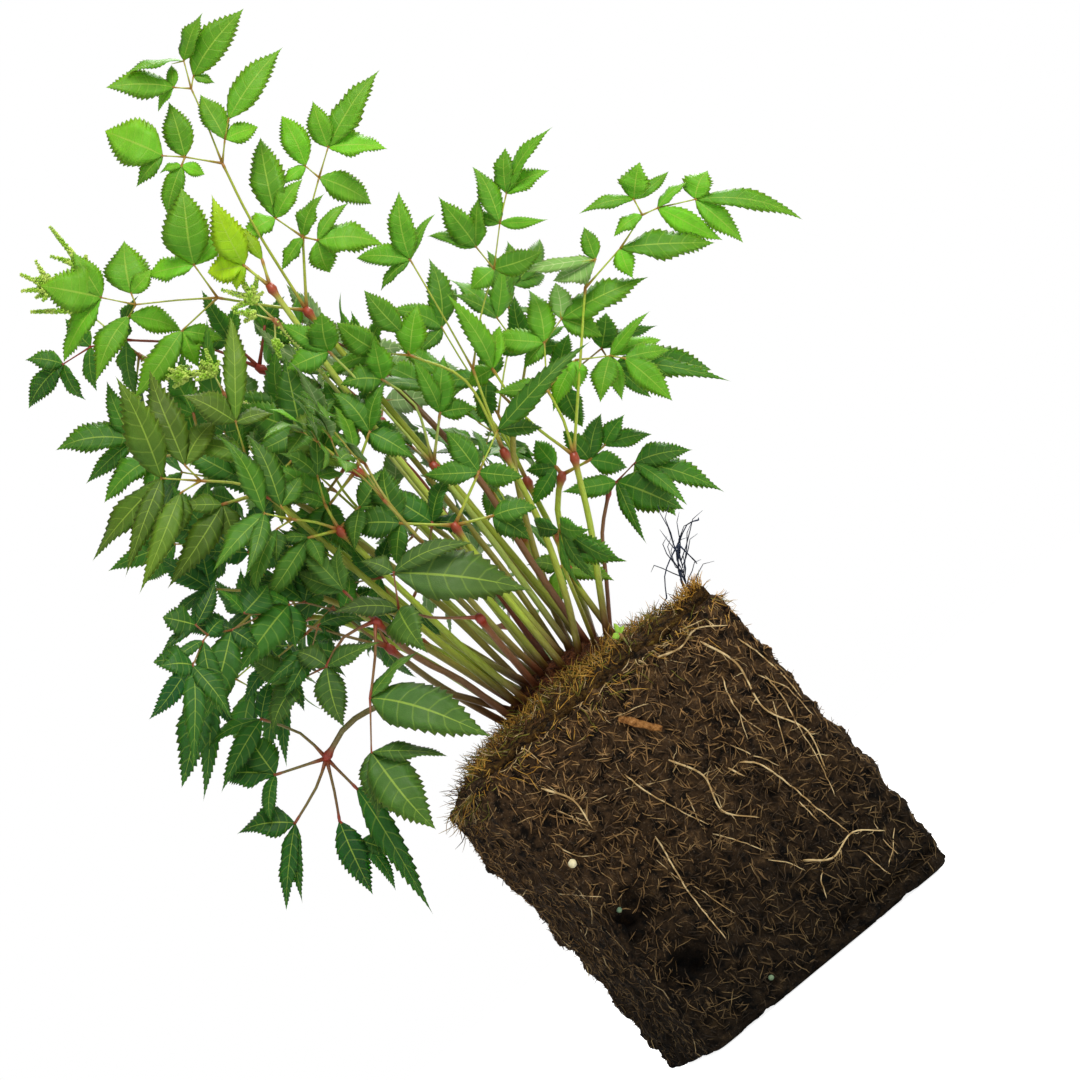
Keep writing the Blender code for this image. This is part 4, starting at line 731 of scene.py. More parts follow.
# Thin roots, moss, hairs and small round things, in two colours each
strandFinishes = {
    "paleRoot": {"tones": ((160, 130, 84), (208, 184, 136)), "roughness": 0.55},
    "tanRoot": {"tones": ((140, 108, 66), (178, 148, 100)), "roughness": 0.6, "damp": 0.6},
    "brownRoot": {"tones": ((108, 82, 50), (158, 122, 78)), "roughness": 0.75, "damp": 0.8},
    "darkRoot": {"tones": ((62, 48, 34), (102, 80, 55)), "roughness": 0.8, "damp": 0.8},
    "goldenMoss": {"tones": ((156, 110, 38), (196, 154, 72))},
    "oliveMoss": {"tones": ((84, 84, 30), (122, 116, 46))},
    "brownMoss": {"tones": ((58, 40, 24), (100, 70, 40))},
    "wiryRoot": {"tones": ((22, 27, 40), (48, 56, 74)), "roughness": 0.5},
    "creamBead": {"tones": ((206, 194, 150), (226, 218, 184)), "roughness": 0.45},
    "greenPrill": {"tones": ((84, 108, 88), (112, 134, 104)), "roughness": 0.4},
    "budSkin": {"tones": ((140, 186, 54), (190, 214, 100)), "roughness": 0.5},
}


# painted shade: a cool darkening towards the bottom of the block, for the earth and the fibres in it
def paintShadeBelow(tree, place, body, share):
    up = addNode(tree, "ShaderNodeSeparateXYZ", {"Vector": place}).outputs["Z"]
    return blend(tree, ramp(tree, up, share, 0.0, 0.0, earthLook["shadeBelowHeight"]), body, earthLook["damp"], "MULTIPLY")


def makeEarthMaterial(name, earth, scale, tones, specks, roughness=0.95, bump=0.9, depth=0.0012, damp=0.0,
                      hollow=False):
    dark, mid, light = (shade(*tone) for tone in tones)
    material, tree, shader = newMaterial(name, roughness, Specular_IOR_Level=earthLook["gloss"])
    place = onObject(tree)
    grain = useGroup(tree, earth, Place=place, Scale=scale).outputs
    body = blend(tree, ramp(tree, grain["Clumps"], 0.0, 1.0, 0.36, 0.56), dark, mid)
    body = blend(tree, ramp(tree, grain["Clumps"], 0.0, 0.8, 0.56, 0.72), body, light)
    body = blend(tree, calc(tree, "MULTIPLY", grain["Specks"], specks), body, mixed(light, earthLook["dust"], 0.18))
    # painted shade towards the bottom
    if damp:
        body = paintShadeBelow(tree, place, body, damp)
    # painted shade: the hollows of the front are darkened
    if hollow:  # the mesh says how deep each point lies in a hollow
        body = blend(tree, attribute(tree, "hollow", "Fac"), body, earthLook["hollow"], "MULTIPLY")
    dull = ramp(tree, grain["Specks"], roughness, roughness - 0.12)
    setSurface(tree, shader, body, dull, grain["Height"], bump, depth)
    return material


def makeStrandMaterial(name, tones, roughness=0.7, damp=0.0):
    material, tree, shader = newMaterial(name, roughness, Specular_IOR_Level=earthLook["strandGloss"])
    place = onObject(tree)
    patches = clouds(tree, place, 240.0)
    body = blend(tree, ramp(tree, patches, 0.0, 1.0, 0.38, 0.62), *(shade(*tone) for tone in tones))
    # painted shade towards the bottom
    if damp:
        body = paintShadeBelow(tree, place, body, damp)
    dull = ramp(tree, patches, roughness - 0.1, roughness + 0.1, 0.3, 0.7)
    setSurface(tree, shader, body, dull, patches, 0.3, 0.0002)
    return material


veinGroup = makeVeinGroup()
earthGroup = makeEarthGroup()
finishes = {
    "bladeUpper": makeBladeMaterial("bladeUpper", bladeFinish["upper"], veinGroup),
    "bladeUnder": makeBladeMaterial("bladeUnder", bladeFinish["under"], veinGroup),
    "stalkSkin": makeStalkMaterial(),
}
for name, look in earthFinishes.items():
    finishes[name] = makeEarthMaterial(name, earthGroup, **look)
for name, look in strandFinishes.items():
    finishes[name] = makeStrandMaterial(name, **look)
print("finishes ready")


def meshOf(name, bm):
    mesh = bpy.data.meshes.new(name)
    bm.to_mesh(mesh)
    bm.free()
    return mesh


def addPiece(name, shape, looks, slot, *nodes):  # a finished piece, from a mesh or a bmesh
    mesh = shape if isinstance(shape, bpy.types.Mesh) else meshOf(name, shape)
    piece = bpy.data.objects.new(name, mesh)
    bpy.context.scene.collection.objects.link(piece)
    for look in looks:
        mesh.materials.append(finishes[look])
    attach(piece, "root")
    if nodes:
        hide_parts(*nodes)


def pieceName(node):  # the piece leafTop shows the node leaf_top
    first, *others = node.split("_")
    return first + "".join(word.capitalize() for word in others)


def smoothFaces(faces, index=0):  # smooth, with one of the piece's finishes
    for face in faces:
        face.smooth = True
        face.material_index = index


def tubesMesh(name, runs, sides=8):  # tubes along runs of (point, radius), made by one curve
    curve = bpy.data.curves.new(name, "CURVE")
    curve.dimensions = "3D"
    curve.bevel_depth = 1.0
    curve.bevel_resolution = (sides - 4) // 2
    curve.use_fill_caps = True
    for run in runs:
        line = curve.splines.new("POLY")
        line.points.add(len(run) - 1)
        for point, (place, radius) in zip(line.points, run):
            point.co = (*place, 1.0)
            point.radius = radius
    holder = bpy.data.objects.new(name, curve)
    bpy.context.scene.collection.objects.link(holder)
    mesh = bpy.data.meshes.new_from_object(holder.evaluated_get(bpy.context.evaluated_depsgraph_get()))
    bpy.data.objects.remove(holder)
    bpy.data.curves.remove(curve)
    bm = bmesh.new()
    bm.from_mesh(mesh)
    bmesh.ops.remove_doubles(bm, verts=bm.verts, dist=1e-7)
    smoothFaces(bm.faces)
    bm.to_mesh(mesh)
    bm.free()
    mesh.materials.clear()
    return mesh


def tapered(line, radius, taper, tip):  # a run that thins along its length, with a thin tip at both ends
    last = len(line) - 1
    return [(point, radius * (1.0 - taper * i / last) * (tip if i in (0, last) else 1.0))
            for i, point in enumerate(line)]


def addBalls(bm, balls, level=1, index=0, batchSize=40):  # round grains from (radius, matrix), in small batches
    for first in range(0, len(balls), batchSize):
        batch = bmesh.new()
        for radius, matrix in balls[first:first + batchSize]:
            bmesh.ops.create_icosphere(batch, subdivisions=level, radius=radius, matrix=matrix)
        smoothFaces(batch.faces, index)
        mesh = meshOf("grains", batch)
        bm.from_mesh(mesh)
        bpy.data.meshes.remove(mesh)


def smoothLine(points, step):  # a rounded line through points, with an even step
    if len(points) == 2:
        count = max(2, int((points[1] - points[0]).length / step))
        return [points[0].lerp(points[1], i / count) for i in range(count + 1)]
    ends = [points[0] * 2 - points[1]] + points + [points[-1] * 2 - points[-2]]
    line = []
    for a, b, c, d in zip(ends, ends[1:], ends[2:], ends[3:]):
        count = max(2, int((c - b).length / step))
        for i in range(count):
            t = i / count
            line.append(0.5 * (2 * b + (c - a) * t + (2 * a - 5 * b + 4 * c - d) * t * t
                               + (3 * b - a - 3 * c + d) * t * t * t))
    return line + [points[-1]]


# A leaflet's shape. "full" leaves and all backLeaves get larger leaflets, "wrinkled" ones stronger relief
leafletLook = {
    "thickness": 0.00045, "fold": 0.17, "sweep": 0.46, "tooth": 0.0010, "relief": 0.00004, "arch": 0.075,
    "drop": 0.12, "wave": 0.20, "base": 0.0003, "fullest": 0.41, "rise": 1.02, "skew": 0.16, "bend": 0.05,
    "twist": 0.35, "rim": 0.999, "toothOut": 0.70, "toothIn": 0.45, "toothLean": 0.15,
    "veins": 16, "across": 4, "smallVeins": 11, "smallAcross": 4, "smallBelow": 0.020,
    "wrinkled": ("leaf_front_mid", "leaf_front_left"), "wrinkle": 2.6, "fuller": 1.22,
    "full": ("leaf_low_left", "leaf_low_middle", "leaf_blue", "leaf_middle", "leaf_olive", "leaf_low_right"),
    "dark": 0.62, "light": 1.12, "sunny": 0.16, "sunTone": shade(112, 182, 36), "sunShare": 0.75, "ownShare": 0.15,
    "folds": (0.3, 1.6), "drops": (0.0, 1.6), "waves": (1.2, 2.6), "fullests": (0.9, 1.12),
}
stalkLook = {
    "swell": 0.75, "childSwell": 0.45, "startSwell": 0.5, "child": 0.70, "swellReach": 0.0026, "taper": 0.22,
    "step": 0.006, "redReach": 0.0026, "footReach": 0.028, "sunkIn": 0.0012, "ends": (0.7, 0.45, 0.25), "cap": 0.8,
    "leafletStalk": {"radius": 0.42, "least": 0.00028, "reach": 0.22, "most": 0.006, "under": 0.6,
                     "steps": ((0.0, 1.5), (0.15, 1.25), (0.4, 1.0), (0.7, 0.8), (1.0, 0.35))},
}


def leafletTemplate(veins, across):  # x across -1..1, y along 0..1, z up for the upper sheet and down for the lower
    bm = bmesh.new()
    leafMap = bm.loops.layers.uv.new("leafMap")
    for side in (1, -1):
        sheet = bmesh.ops.create_grid(bm, x_segments=across, y_segments=veins * 2, size=1.0)["verts"]
        for vert in sheet:
            u, r = vert.co.x, (vert.co.y + 1) / 2
            rim = abs(u) > leafletLook["rim"] or r < 0.001 or r > leafletLook["rim"]
            vert.co = (u, r, 0.0 if rim else side * math.sqrt(1 - u * u) * min(1.0, 6 * r, 6 * (1 - r)))
        faces = list({face for vert in sheet for face in vert.link_faces})
        smoothFaces(faces, 0 if side > 0 else 1)
        for loop in (loop for face in faces for loop in face.loops):
            loop[leafMap].uv = ((loop.vert.co.x + 1) / 2, loop.vert.co.y * veins / 2)
        if side < 0:
            bmesh.ops.reverse_faces(bm, faces=faces)
    bmesh.ops.remove_doubles(bm, verts=bm.verts, dist=1e-5)
    return meshOf("leaflet", bm)


def fullness(reach, fullest):  # half the width of a leaflet along its length, 1 at its widest
    if reach <= 0 or reach >= 1:
        return 0.0
    rise = leafletLook["rise"]
    fall = rise * (1 - fullest) / fullest
    return (reach / fullest) ** rise * ((1 - reach) / (1 - fullest)) ** fall


def addLeaflet(bm, tintLayer, templates, place, tone, wrinkle, pick):
    look = leafletLook
    small = place["length"] < look["smallBelow"]
    veins = look["smallVeins"] if small else look["veins"]
    first = len(bm.verts)
    bm.from_mesh(templates[0 if small else 1])
    bm.verts.ensure_lookup_table()
    across, along, face = -place["side"], place["along"], place["face"]
    length, width = place["length"], place["width"]
    skew, bend, twist = [pick.uniform(-look[key], look[key]) for key in ("skew", "bend", "twist")]
    fold, drop = look["fold"] * pick.uniform(*look["folds"]), look["drop"] * pick.uniform(*look["drops"])
    waves, phase = pick.uniform(*look["waves"]), pick.uniform(0, 6.3)
    fullest = look["fullest"] * pick.uniform(*look["fullests"])
    tooth = min(look["tooth"], width * 0.07)
    relief = look["relief"] * wrinkle * min(1.0, width / 0.012)
    for vert in bm.verts[first:]:
        u, r, layer = vert.co
        inward = round(r * veins * 2) % 2  # every other point of the rim lies between two teeth
        reach = r + look["sweep"] * abs(u) ** 1.2 * r * (1 - r)
        full = fullness(reach, fullest)
        half = width / 2 * full * (1 + skew * u * (1 - reach))
        if abs(u) > look["rim"] and 0.03 < r < 0.98:
            half += tooth * min(1.0, full * 2.2) * (-look["toothIn"] if inward else look["toothOut"])
            lean = -look["toothLean"] if inward else look["toothOut"]
            reach += lean / (veins * 2) * min(1.0, full * 2)
        half += look["base"] * (1 - reach)
        x = u * half
        z = layer * look["thickness"] * 0.5 + fold * abs(x) * (1.3 - abs(u))
        if 0.0 < r < 1.0:
            ridge = (1 if inward else -1) * (1 - 0.45 * u * u) * (0.35 if abs(u) < 0.01 else 1.0)
            z += relief * ridge * min(1.0, full * 2)
        z -= relief * 1.6 * (abs(u) < 0.01) * full
        z += look["wave"] * half * u * u * math.sin(waves * fullTurn * reach + phase + u)
        z += look["arch"] * 4 * reach * (1 - reach) * length - drop * reach ** 3 * length
        turn = twist * reach
        x, z = x * math.cos(turn) - z * math.sin(turn), z * math.cos(turn) + x * math.sin(turn)
        x += bend * 4 * reach * (1 - reach) * length
        vert.co = place["base"] + across * x + along * (reach * length) + face * z
        light = 1.0 + 0.22 * (reach - 0.5) + 0.10 * u
        vert[tintLayer] = (tone[0] * light, tone[1] * (1 + 0.08 * u), tone[2] * (1.1 - 0.3 * reach), 1.0)


def gatherStalks(stalk, packed, runs, knots, first=True):  # the runs of every stalk, and the knots they meet at
    look = stalkLook
    radius = packed if first else packed * look["child"]
    line = smoothLine(stalk["points"], look["step"])
    if first:
        line[0] = line[0] - (line[1] - line[0]).normalized() * look["sunkIn"]
    reach = look["swellReach"]
    ends = [line[-1].lerp(line[-2], share) for share in look["ends"]]
    line = line[:-1] + ends + [line[-1] + (line[-1] - line[-2]).normalized() * radius * look["cap"]]
    total = sum((b - a).length for a, b in zip(line, line[1:]))
    run, gone = [], 0.0
    for i, point in enumerate(line):
        gone += (point - line[i - 1]).length if i else 0.0
        size = 1 - look["taper"] * gone / total
        swell = look["swell"] if first else look["childSwell"]
        size += swell * math.exp(-((total - radius - gone) / (reach * 0.5 + radius)) ** 2)
        size += 0.0 if first else look["startSwell"] * math.exp(-(gone / reach) ** 2)
        run.append((point, radius * size * (0.75 if i == len(line) - 1 else 1.0)))
    runs.append(run)
    knots.append((stalk["points"][-1], radius))
    thread = look["leafletStalk"]
    for place in stalk["places"]:
        thin = max(radius * thread["radius"], thread["least"])
        far = min(place["length"] * thread["reach"], thread["most"])
        runs.append([(place["base"] + place["along"] * far * share - place["face"] * thin * thread["under"] * share,
                      thin * size) for share, size in thread["steps"]])
    for child in stalk["stalks"]:
        gatherStalks(child, nextRadius(packed), runs, knots, False)


def placesOf(stalk):
    return stalk["places"] + [place for child in stalk["stalks"] for place in placesOf(child)]


def tintStalks(bm, tintLayer, first, knots, tone, footZ):  # reddish at the knots and dark at the foot
    finder = KDTree(len(knots))
    for i, (point, radius) in enumerate(knots):
        finder.insert(point, i)
    finder.balance()
    bm.verts.ensure_lookup_table()
    for vert in bm.verts[first:]:
        point, index, far = finder.find(vert.co)
        size = knots[index][1]
        far = max(0.0, far - size * 1.6)
        red = math.exp(-(far / (stalkLook["redReach"] * (0.3 + size / 0.0016))) ** 2)
        red *= 0.5 + 0.5 * min(1.0, size / 0.0014)
        low = max(0.0, 1 - (vert.co.z - footZ) / stalkLook["footReach"])
        patch = 0.5 + 0.5 * noise.noise(vert.co * 90)
        colour = mixed(tone, stalkTones["foot"], min(1.0, low * (0.5 + patch)))
        vert[tintLayer] = (*mixed(colour, stalkTones["knot"], red * 0.95), 1.0)


def newGrowth():  # an empty mesh with the leaflets' map and the tint that leaf and stalk finishes read
    bm = bmesh.new()
    bm.loops.layers.uv.new("leafMap")
    return bm, bm.verts.layers.float_color.new("tint")


def addStalks(bm, tintLayer, name, laid, tone, footZ):
    first, firstFace = len(bm.verts), len(bm.faces)
    runs, knots = [], []
    gatherStalks(laid, laid["radius"], runs, knots)
    bm.from_mesh(tubesMesh(name, runs))
    bm.faces.ensure_lookup_table()
    smoothFaces(bm.faces[firstFace:], 2)
    tintStalks(bm, tintLayer, first, knots, tone, footZ)


def makeLeaf(name, laid, seed):
    look = leafletLook
    pick = random.Random(seed)
    bm, tintLayer = newGrowth()
    tone = leafColourAndShade[name]
    wrinkle = look["wrinkle"] if name in look["wrinkled"] else 1.0
    sunlit = max(0.0, min(1.0, tone[1] / shade(0, 140, 0)[1] * 2.0 - 1.3))  # only the bright leaves
    fuller = look["fuller"] if name in backLeaves or name in look["full"] else 1.0
    for place in placesOf(laid):
        place["length"] *= fuller
        place["width"] *= fuller
        tip = (place["base"] + place["along"] * place["length"]) / cm
        if any(abs(tip.x - x) < 0.4 and abs(tip.z - z) < 0.4 for x, z in paleSides.get(name, ())):
            place["face"], place["side"] = -place["face"], -place["side"]
        sunny = pick.random() < look["sunny"] * sunlit
        own = mixed(tone, look["sunTone"], look["sunShare"] if sunny else pick.uniform(0.0, look["ownShare"]))
        level = pick.uniform(look["dark"], look["light"])
        addLeaflet(bm, tintLayer, leafletTemplates, place, [part * level for part in own], wrinkle, pick)
    # some stalks take the brown tone, partly their own colour and partly painted shade
    browner = pick.choice((0, 0, 0.2, 0.6))
    stalkTone = stalkTones.get(name) or mixed(stalkTones["usual"], stalkTones["brown"], browner)
    addStalks(bm, tintLayer, name, laid, stalkTone, laid["points"][0].z)
    addPiece(pieceName(name), bm, ["bladeUpper", "bladeUnder", "stalkSkin"],
             "lime" if name == "leaf_young" else "leaf", name)


ground = [treeOfNode(name) for name in ("crown", "moss_mat", "root_ball")]
plant = layOutPlant(ground)
leafletTemplates = [leafletTemplate(leafletLook["smallVeins"], leafletLook["smallAcross"]),
                    leafletTemplate(leafletLook["veins"], leafletLook["across"])]
for seed, name in enumerate(leafColourAndShade):
    makeLeaf(name, plant[name], seeds["leaflets"] + seed)
print("leaves made:", len(leafColourAndShade), "with", sum(len(placesOf(plant[name])) for name in leafColourAndShade), "leaflets")


# Flower panicles: thin stalks with side spikes of round buds
budLook = {"size": 0.00075, "spacing": 0.00095, "around": 4, "spread": 0.00115, "turn": 2.4, "spikes": 3,
           "spike": 0.011, "spikeTurn": 2.1, "thick": 0.0004, "thin": 0.00025, "single": 46, "singleFrom": 0.55}


def makePanicle(name, laid, seed):
    look = budLook
    pick = random.Random(seed)
    runs, knots, buds = [], [], []
    gatherStalks(laid, laid["radius"], runs, knots)
    spikes = placesOf(laid)
    for place in list(spikes):  # shorter spikes beside each one of the plan
        for i in range(look["spikes"]):
            turn = Matrix.Rotation(look["spikeTurn"] * i + pick.uniform(-0.4, 0.4), 3, place["along"])
            out = turn @ place["along"].orthogonal().normalized()
            way = (place["along"] + out * pick.uniform(0.7, 1.1)).normalized()
            length = min(look["spike"], place["length"] * 0.75) * pick.uniform(0.6, 1.0)
            start = place["base"] - place["along"] * place["length"] * pick.uniform(0.0, 0.12)
            spikes.append({"base": start, "along": way, "length": length, "width": place["width"] * 0.8})
    for place in spikes:
        along, start, length = place["along"], place["base"], place["length"]
        count = max(3, int(length / look["spacing"]))
        runs.append([(start, look["thick"]), (start + along * length, look["thin"])])
        for i in range(count):
            reach = (i + 0.5) / count
            wide = look["spread"] * (1.15 - 0.75 * reach) * min(1.0, place["width"] / 0.0035 + 0.2)
            for k in range(look["around"]):
                angle = look["turn"] * (i * look["around"] + k) + pick.uniform(-0.3, 0.3)
                out = Matrix.Rotation(angle, 3, along) @ along.orthogonal().normalized()
                size = look["size"] * (1.15 - 0.5 * reach) * pick.uniform(0.8, 1.15)
                buds.append((start + along * length * reach + out * wide, size))
    stem = laid["points"]
    for i in range(look["single"]):  # single buds along the upper stalk
        reach = look["singleFrom"] + (1 - look["singleFrom"]) * i / look["single"]
        line = (stem[-2] - stem[-1]) * (1 - reach) / (1 - look["singleFrom"]) * 0.9 + stem[-1]
        out = Matrix.Rotation(look["turn"] * i, 3, "Z") @ Vector((1, 0, 0))
        buds.append((line + out * laid["radius"] * 1.5, look["size"] * pick.uniform(0.6, 0.95)))
    bm = bmesh.new()
    tintLayer = bm.verts.layers.float_color.new("tint")
    bm.from_mesh(tubesMesh(name, runs))
    tone = mixed(stalkTones["usual"], stalkTones["panicle"], 0.6)
    tintStalks(bm, tintLayer, 0, knots[:1], tone, laid["points"][0].z)
    addBalls(bm, [(size, Matrix.Translation(point)) for point, size in buds], index=1)
    addPiece(pieceName(name), bm, ["stalkSkin", "budSkin"], "flower", name)


for seed, name in enumerate(panicles):
    makePanicle(name, plant[name], seeds["panicles"] + seed)
print("panicles made:", len(panicles))


# Root ball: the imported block's own shape on a fine grid, with crumbs, hollows and a moulded groove
peat = {
    "side": 0.130, "height": 0.149, "turn": math.radians(10), "lean": 0.005, "cuts": 84, "roundness": 30,
    "crumb": 0.0030, "grit": 0.0011, "sink": 0.0006, "swell": 0.0030, "swellSize": 0.034, "shoulder": 0.0045,
    "shoulderAt": 0.88, "shoulderReach": 0.3,
    "hollows": [((-4.6, 6.4), 0.012, 0.0100), ((-3.8, 3.5), 0.011, 0.0090), ((3.4, 9.4), 0.006, 0.0025),
                ((-4.6, 11.5), 0.008, 0.003), ((2.6, 2.4), 0.010, 0.0025), ((-1.0, 4.8), 0.009, 0.0030)],
    "groove": {"height": 0.0085, "from": 1.0, "depth": 0.0032, "width": 0.0022},
}
blockTurn = Matrix.Rotation(peat["turn"], 3, "Z")
faceEdge = 0.7  # how far a point of the block has to look one way to count as on that face


def blockPoint(place):  # where a point of the upright block goes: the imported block, with swells and a full shoulder
    up = place.z / peat["height"]
    moved = lumps(place, peat["swellSize"], peat["swell"]) * min(1.0, up * 2.0)
    shoulder = max(0.0, 1.0 - abs(up - peat["shoulderAt"]) / peat["shoulderReach"]) * (place.x < -peat["side"] * 0.4)
    return Vector((place.x + moved.x - peat["lean"] * up - peat["shoulder"] * shoulder, place.y + moved.y, place.z))


def inHollow(place, at, radius):  # 1 in the middle of a hollow of the front, 0 outside
    far = math.hypot(place.x - at[0] * cm, (place.z - at[1] * cm) * 1.15) / radius
    return math.exp(-max(0.0, far + 0.35 * noise.noise(place * 130)) ** 2.2)


def makeRootBall():
    bm = bmesh.new()
    bmesh.ops.create_cube(bm, size=2.0)
    bmesh.ops.subdivide_edges(bm, edges=bm.edges[:], cuts=peat["cuts"], use_grid_fill=True)
    half = Vector((peat["side"] / 2, peat["side"] / 2, peat["height"] / 2))
    power, groove = peat["roundness"], peat["groove"]
    # a layer for the painted shade in the hollows
    hollow = bm.verts.layers.float.new("hollow")
    for vert in bm.verts:
        shrink = sum(abs(part) ** power for part in vert.co) ** (-1 / power)
        out = Vector([math.copysign(abs(part) ** (power - 1), part) for part in vert.co]).normalized()
        place = Vector([part * shrink * side for part, side in zip(vert.co, half)])
        place.z += half.z
        place = blockPoint(place)
        depth = peat["crumb"] * noise.fractal(place * 80, 0.8, 2.1, 4)
        depth += peat["grit"] * noise.noise(place * 520) - peat["sink"]
        if out.y < -faceEdge:
            front = blockTurn @ place
            for at, radius, deep in peat["hollows"]:
                sunk = inHollow(front, at, radius)
                depth -= deep * sunk * (1 + 0.4 * noise.noise(place * 200))
                # how much painted shade this point of a hollow gets
                vert[hollow] = max(vert[hollow], min(1.0, sunk * 1.3) * min(1.0, deep / 0.007))
            depth -= (groove["depth"] * math.exp(-((place.z - groove["height"]) / groove["width"]) ** 2)
                      * min(1.0, max(0.0, front.x / cm - groove["from"])))
        if out.z < -faceEdge:
            depth = min(0.0, depth)
        vert.co = blockTurn @ (place + out * depth)
        vert.co.z = max(0.0, vert.co.z)
    smoothFaces(bm.faces)
    tree = BVHTree.FromBMesh(bm)
    addPiece("rootBall", bm, ["darkPeat"], "peat", "root_ball")
    return tree


# Which way to look for the block's faces, and the share of the small things that lies on each
sidesOfBlock = [(Vector((0, -1, 0)), 0.34), (Vector((1, 0, 0)), 0.22), (Vector((-1, 0, 0)), 0.22), (backward, 0.22)]
spots = {"from": 0.3, "half": 0.066, "low": 0.003, "high": 0.146}


def spotOnBlock(tree, pick, low=spots["low"], high=spots["high"]):  # a random point on an upright face of the block
    share = pick.random()
    for way, part in sidesOfBlock:
        share -= part
        if share <= 0:
            break
    across = way.cross(upward) * pick.uniform(-spots["half"], spots["half"])
    start = blockTurn @ (way * spots["from"] + across) + Vector((0, 0, pick.uniform(low, high)))
    hit = tree.ray_cast(start, -(blockTurn @ way))[0]
    return (hit, blockTurn @ way) if hit is not None else spotOnBlock(tree, pick, low, high)


def meet(tree, start, way):  # where a look from a point meets the surface
    return tree.ray_cast(Vector(start), way)[0]


def around(side, angle, flatten=1.0):  # a direction in an upright face
    return side * math.cos(angle) * flatten + upward * math.sin(angle)


def creep(tree, start, out, way, steps, step, lift, pick, curl):  # a line that creeps over a surface
    line = []
    place = start
    for i in range(steps):
        hit = tree.find_nearest(place)[0]
        line.append(hit + out * (lift * (0.4 + pick.random() * 0.9)))
        way = (Matrix.Rotation(pick.uniform(-curl, curl), 3, out) @ way).normalized()
        place = hit + way * step
    return line


# Fibres in the faces of the block: how many, how thick, the length of one step, and the bend at each step
peatHairs = {
    "darkHairs": {"count": 3900, "size": 0.00021, "step": 0.0015, "steps": 4, "bend": 0.32, "finish": "darkRoot"},
    "brownHairs": {"count": 3800, "size": 0.00020, "step": 0.0016, "steps": 4, "bend": 0.32, "finish": "brownRoot"},
    "tanHairs": {"count": 800, "size": 0.00014, "step": 0.0016, "steps": 5, "bend": 0.30, "finish": "tanRoot"},
    "paleHairs": {"count": 34, "size": 0.00018, "step": 0.0034, "steps": 9, "bend": 0.20, "finish": "paleRoot"},
}
hairLook = {"lift": 0.0004, "raise": 0.0022, "down": 0.7, "raised": 0.4, "bareDeeper": 0.005, "sides": 4}


def makePeatHairs(tree):
    bareHollows = [(at, radius) for at, radius, deep in peat["hollows"] if deep > hairLook["bareDeeper"]]
    for seed, (name, look) in enumerate(peatHairs.items()):
        pick = random.Random(seeds["hairs"] + seed)
        runs = []
        for i in range(look["count"]):
            start, out = spotOnBlock(tree, pick, low=0.004)
            bare = max(inHollow(start, at, radius) for at, radius in bareHollows)
            if out.y < -faceEdge and bare > 0.30 + 0.5 * pick.random():
                continue
            way = around(out.cross(upward), pick.uniform(0, fullTurn), hairLook["down"]).normalized()
            line = creep(tree, start, out, way, look["steps"], look["step"] * pick.uniform(0.5, 1.6),
                         hairLook["lift"], pick, look["bend"])
            if pick.random() < hairLook["raised"]:  # one end stands off the face
                line[-1] = line[-1] + out * pick.uniform(0.3, 1.0) * hairLook["raise"]
            runs.append(tapered(line, look["size"] * pick.uniform(0.6, 1.4), 0.0, 0.4))
        addPiece(name, tubesMesh(name, runs, hairLook["sides"]), [look["finish"]], "peat")


crumbs = {"count": 900, "small": 0.0005, "large": 0.0016, "sunk": 0.2}


def makeCrumbs(tree):
    pick = random.Random(seeds["crumbs"])
    balls = []
    for i in range(crumbs["count"]):
        place, out = spotOnBlock(tree, pick)
        size = pick.uniform(crumbs["small"], crumbs["large"]) * pick.uniform(0.5, 1.0)
        scale = Matrix.Diagonal((pick.uniform(0.7, 1.5), pick.uniform(0.7, 1.5), pick.uniform(0.5, 1.2), 1))
        turn = Matrix.Rotation(pick.uniform(0, fullTurn), 4, Vector((pick.random(), pick.random(), 1)).normalized())
        balls.append((size, Matrix.Translation(place - out * size * crumbs["sunk"]) @ turn @ scale))
    bm = bmesh.new()
    addBalls(bm, balls)
    addPiece("peatCrumbs", bm, ["peatCrumb"], "peat")


# Moss mat: a lumpy bed over the block's top with thousands of short curved strands
moss = {
    "edge": 0.003, "dome": 0.010, "domeReach": 0.045, "bevel": 0.004, "crown": Vector((-0.006, 0.0, 0.0)),
    "cuts": 56, "under": 0.0025, "bump": 0.0012, "bumpSize": 0.02, "lump": 0.0016, "rimFrom": 0.86, "rimReach": 0.14,
    "rimDrop": 0.0035, "ragged": 0.0008, "strands": 3700, "nearCrown": (0.034, 0.026), "hanging": 900,
    "hangFrom": 0.147, "hangReach": 0.016, "length": 0.0068, "size": 0.00016, "straw": 0.06, "patches": 45,
    "goldFrom": 0.16, "oliveFrom": -0.06,
    "crest": {"at": Vector((0.063, -0.046)), "reach": 0.010, "high": 0.0045, "strands": 420},
}
# Each kind of strand by its finish, from the usual to the rare along the block's top edge
mossKinds = {"mossGold": "goldenMoss", "mossOlive": "oliveMoss", "mossBrown": "brownMoss", "mossStraw": "paleRoot"}


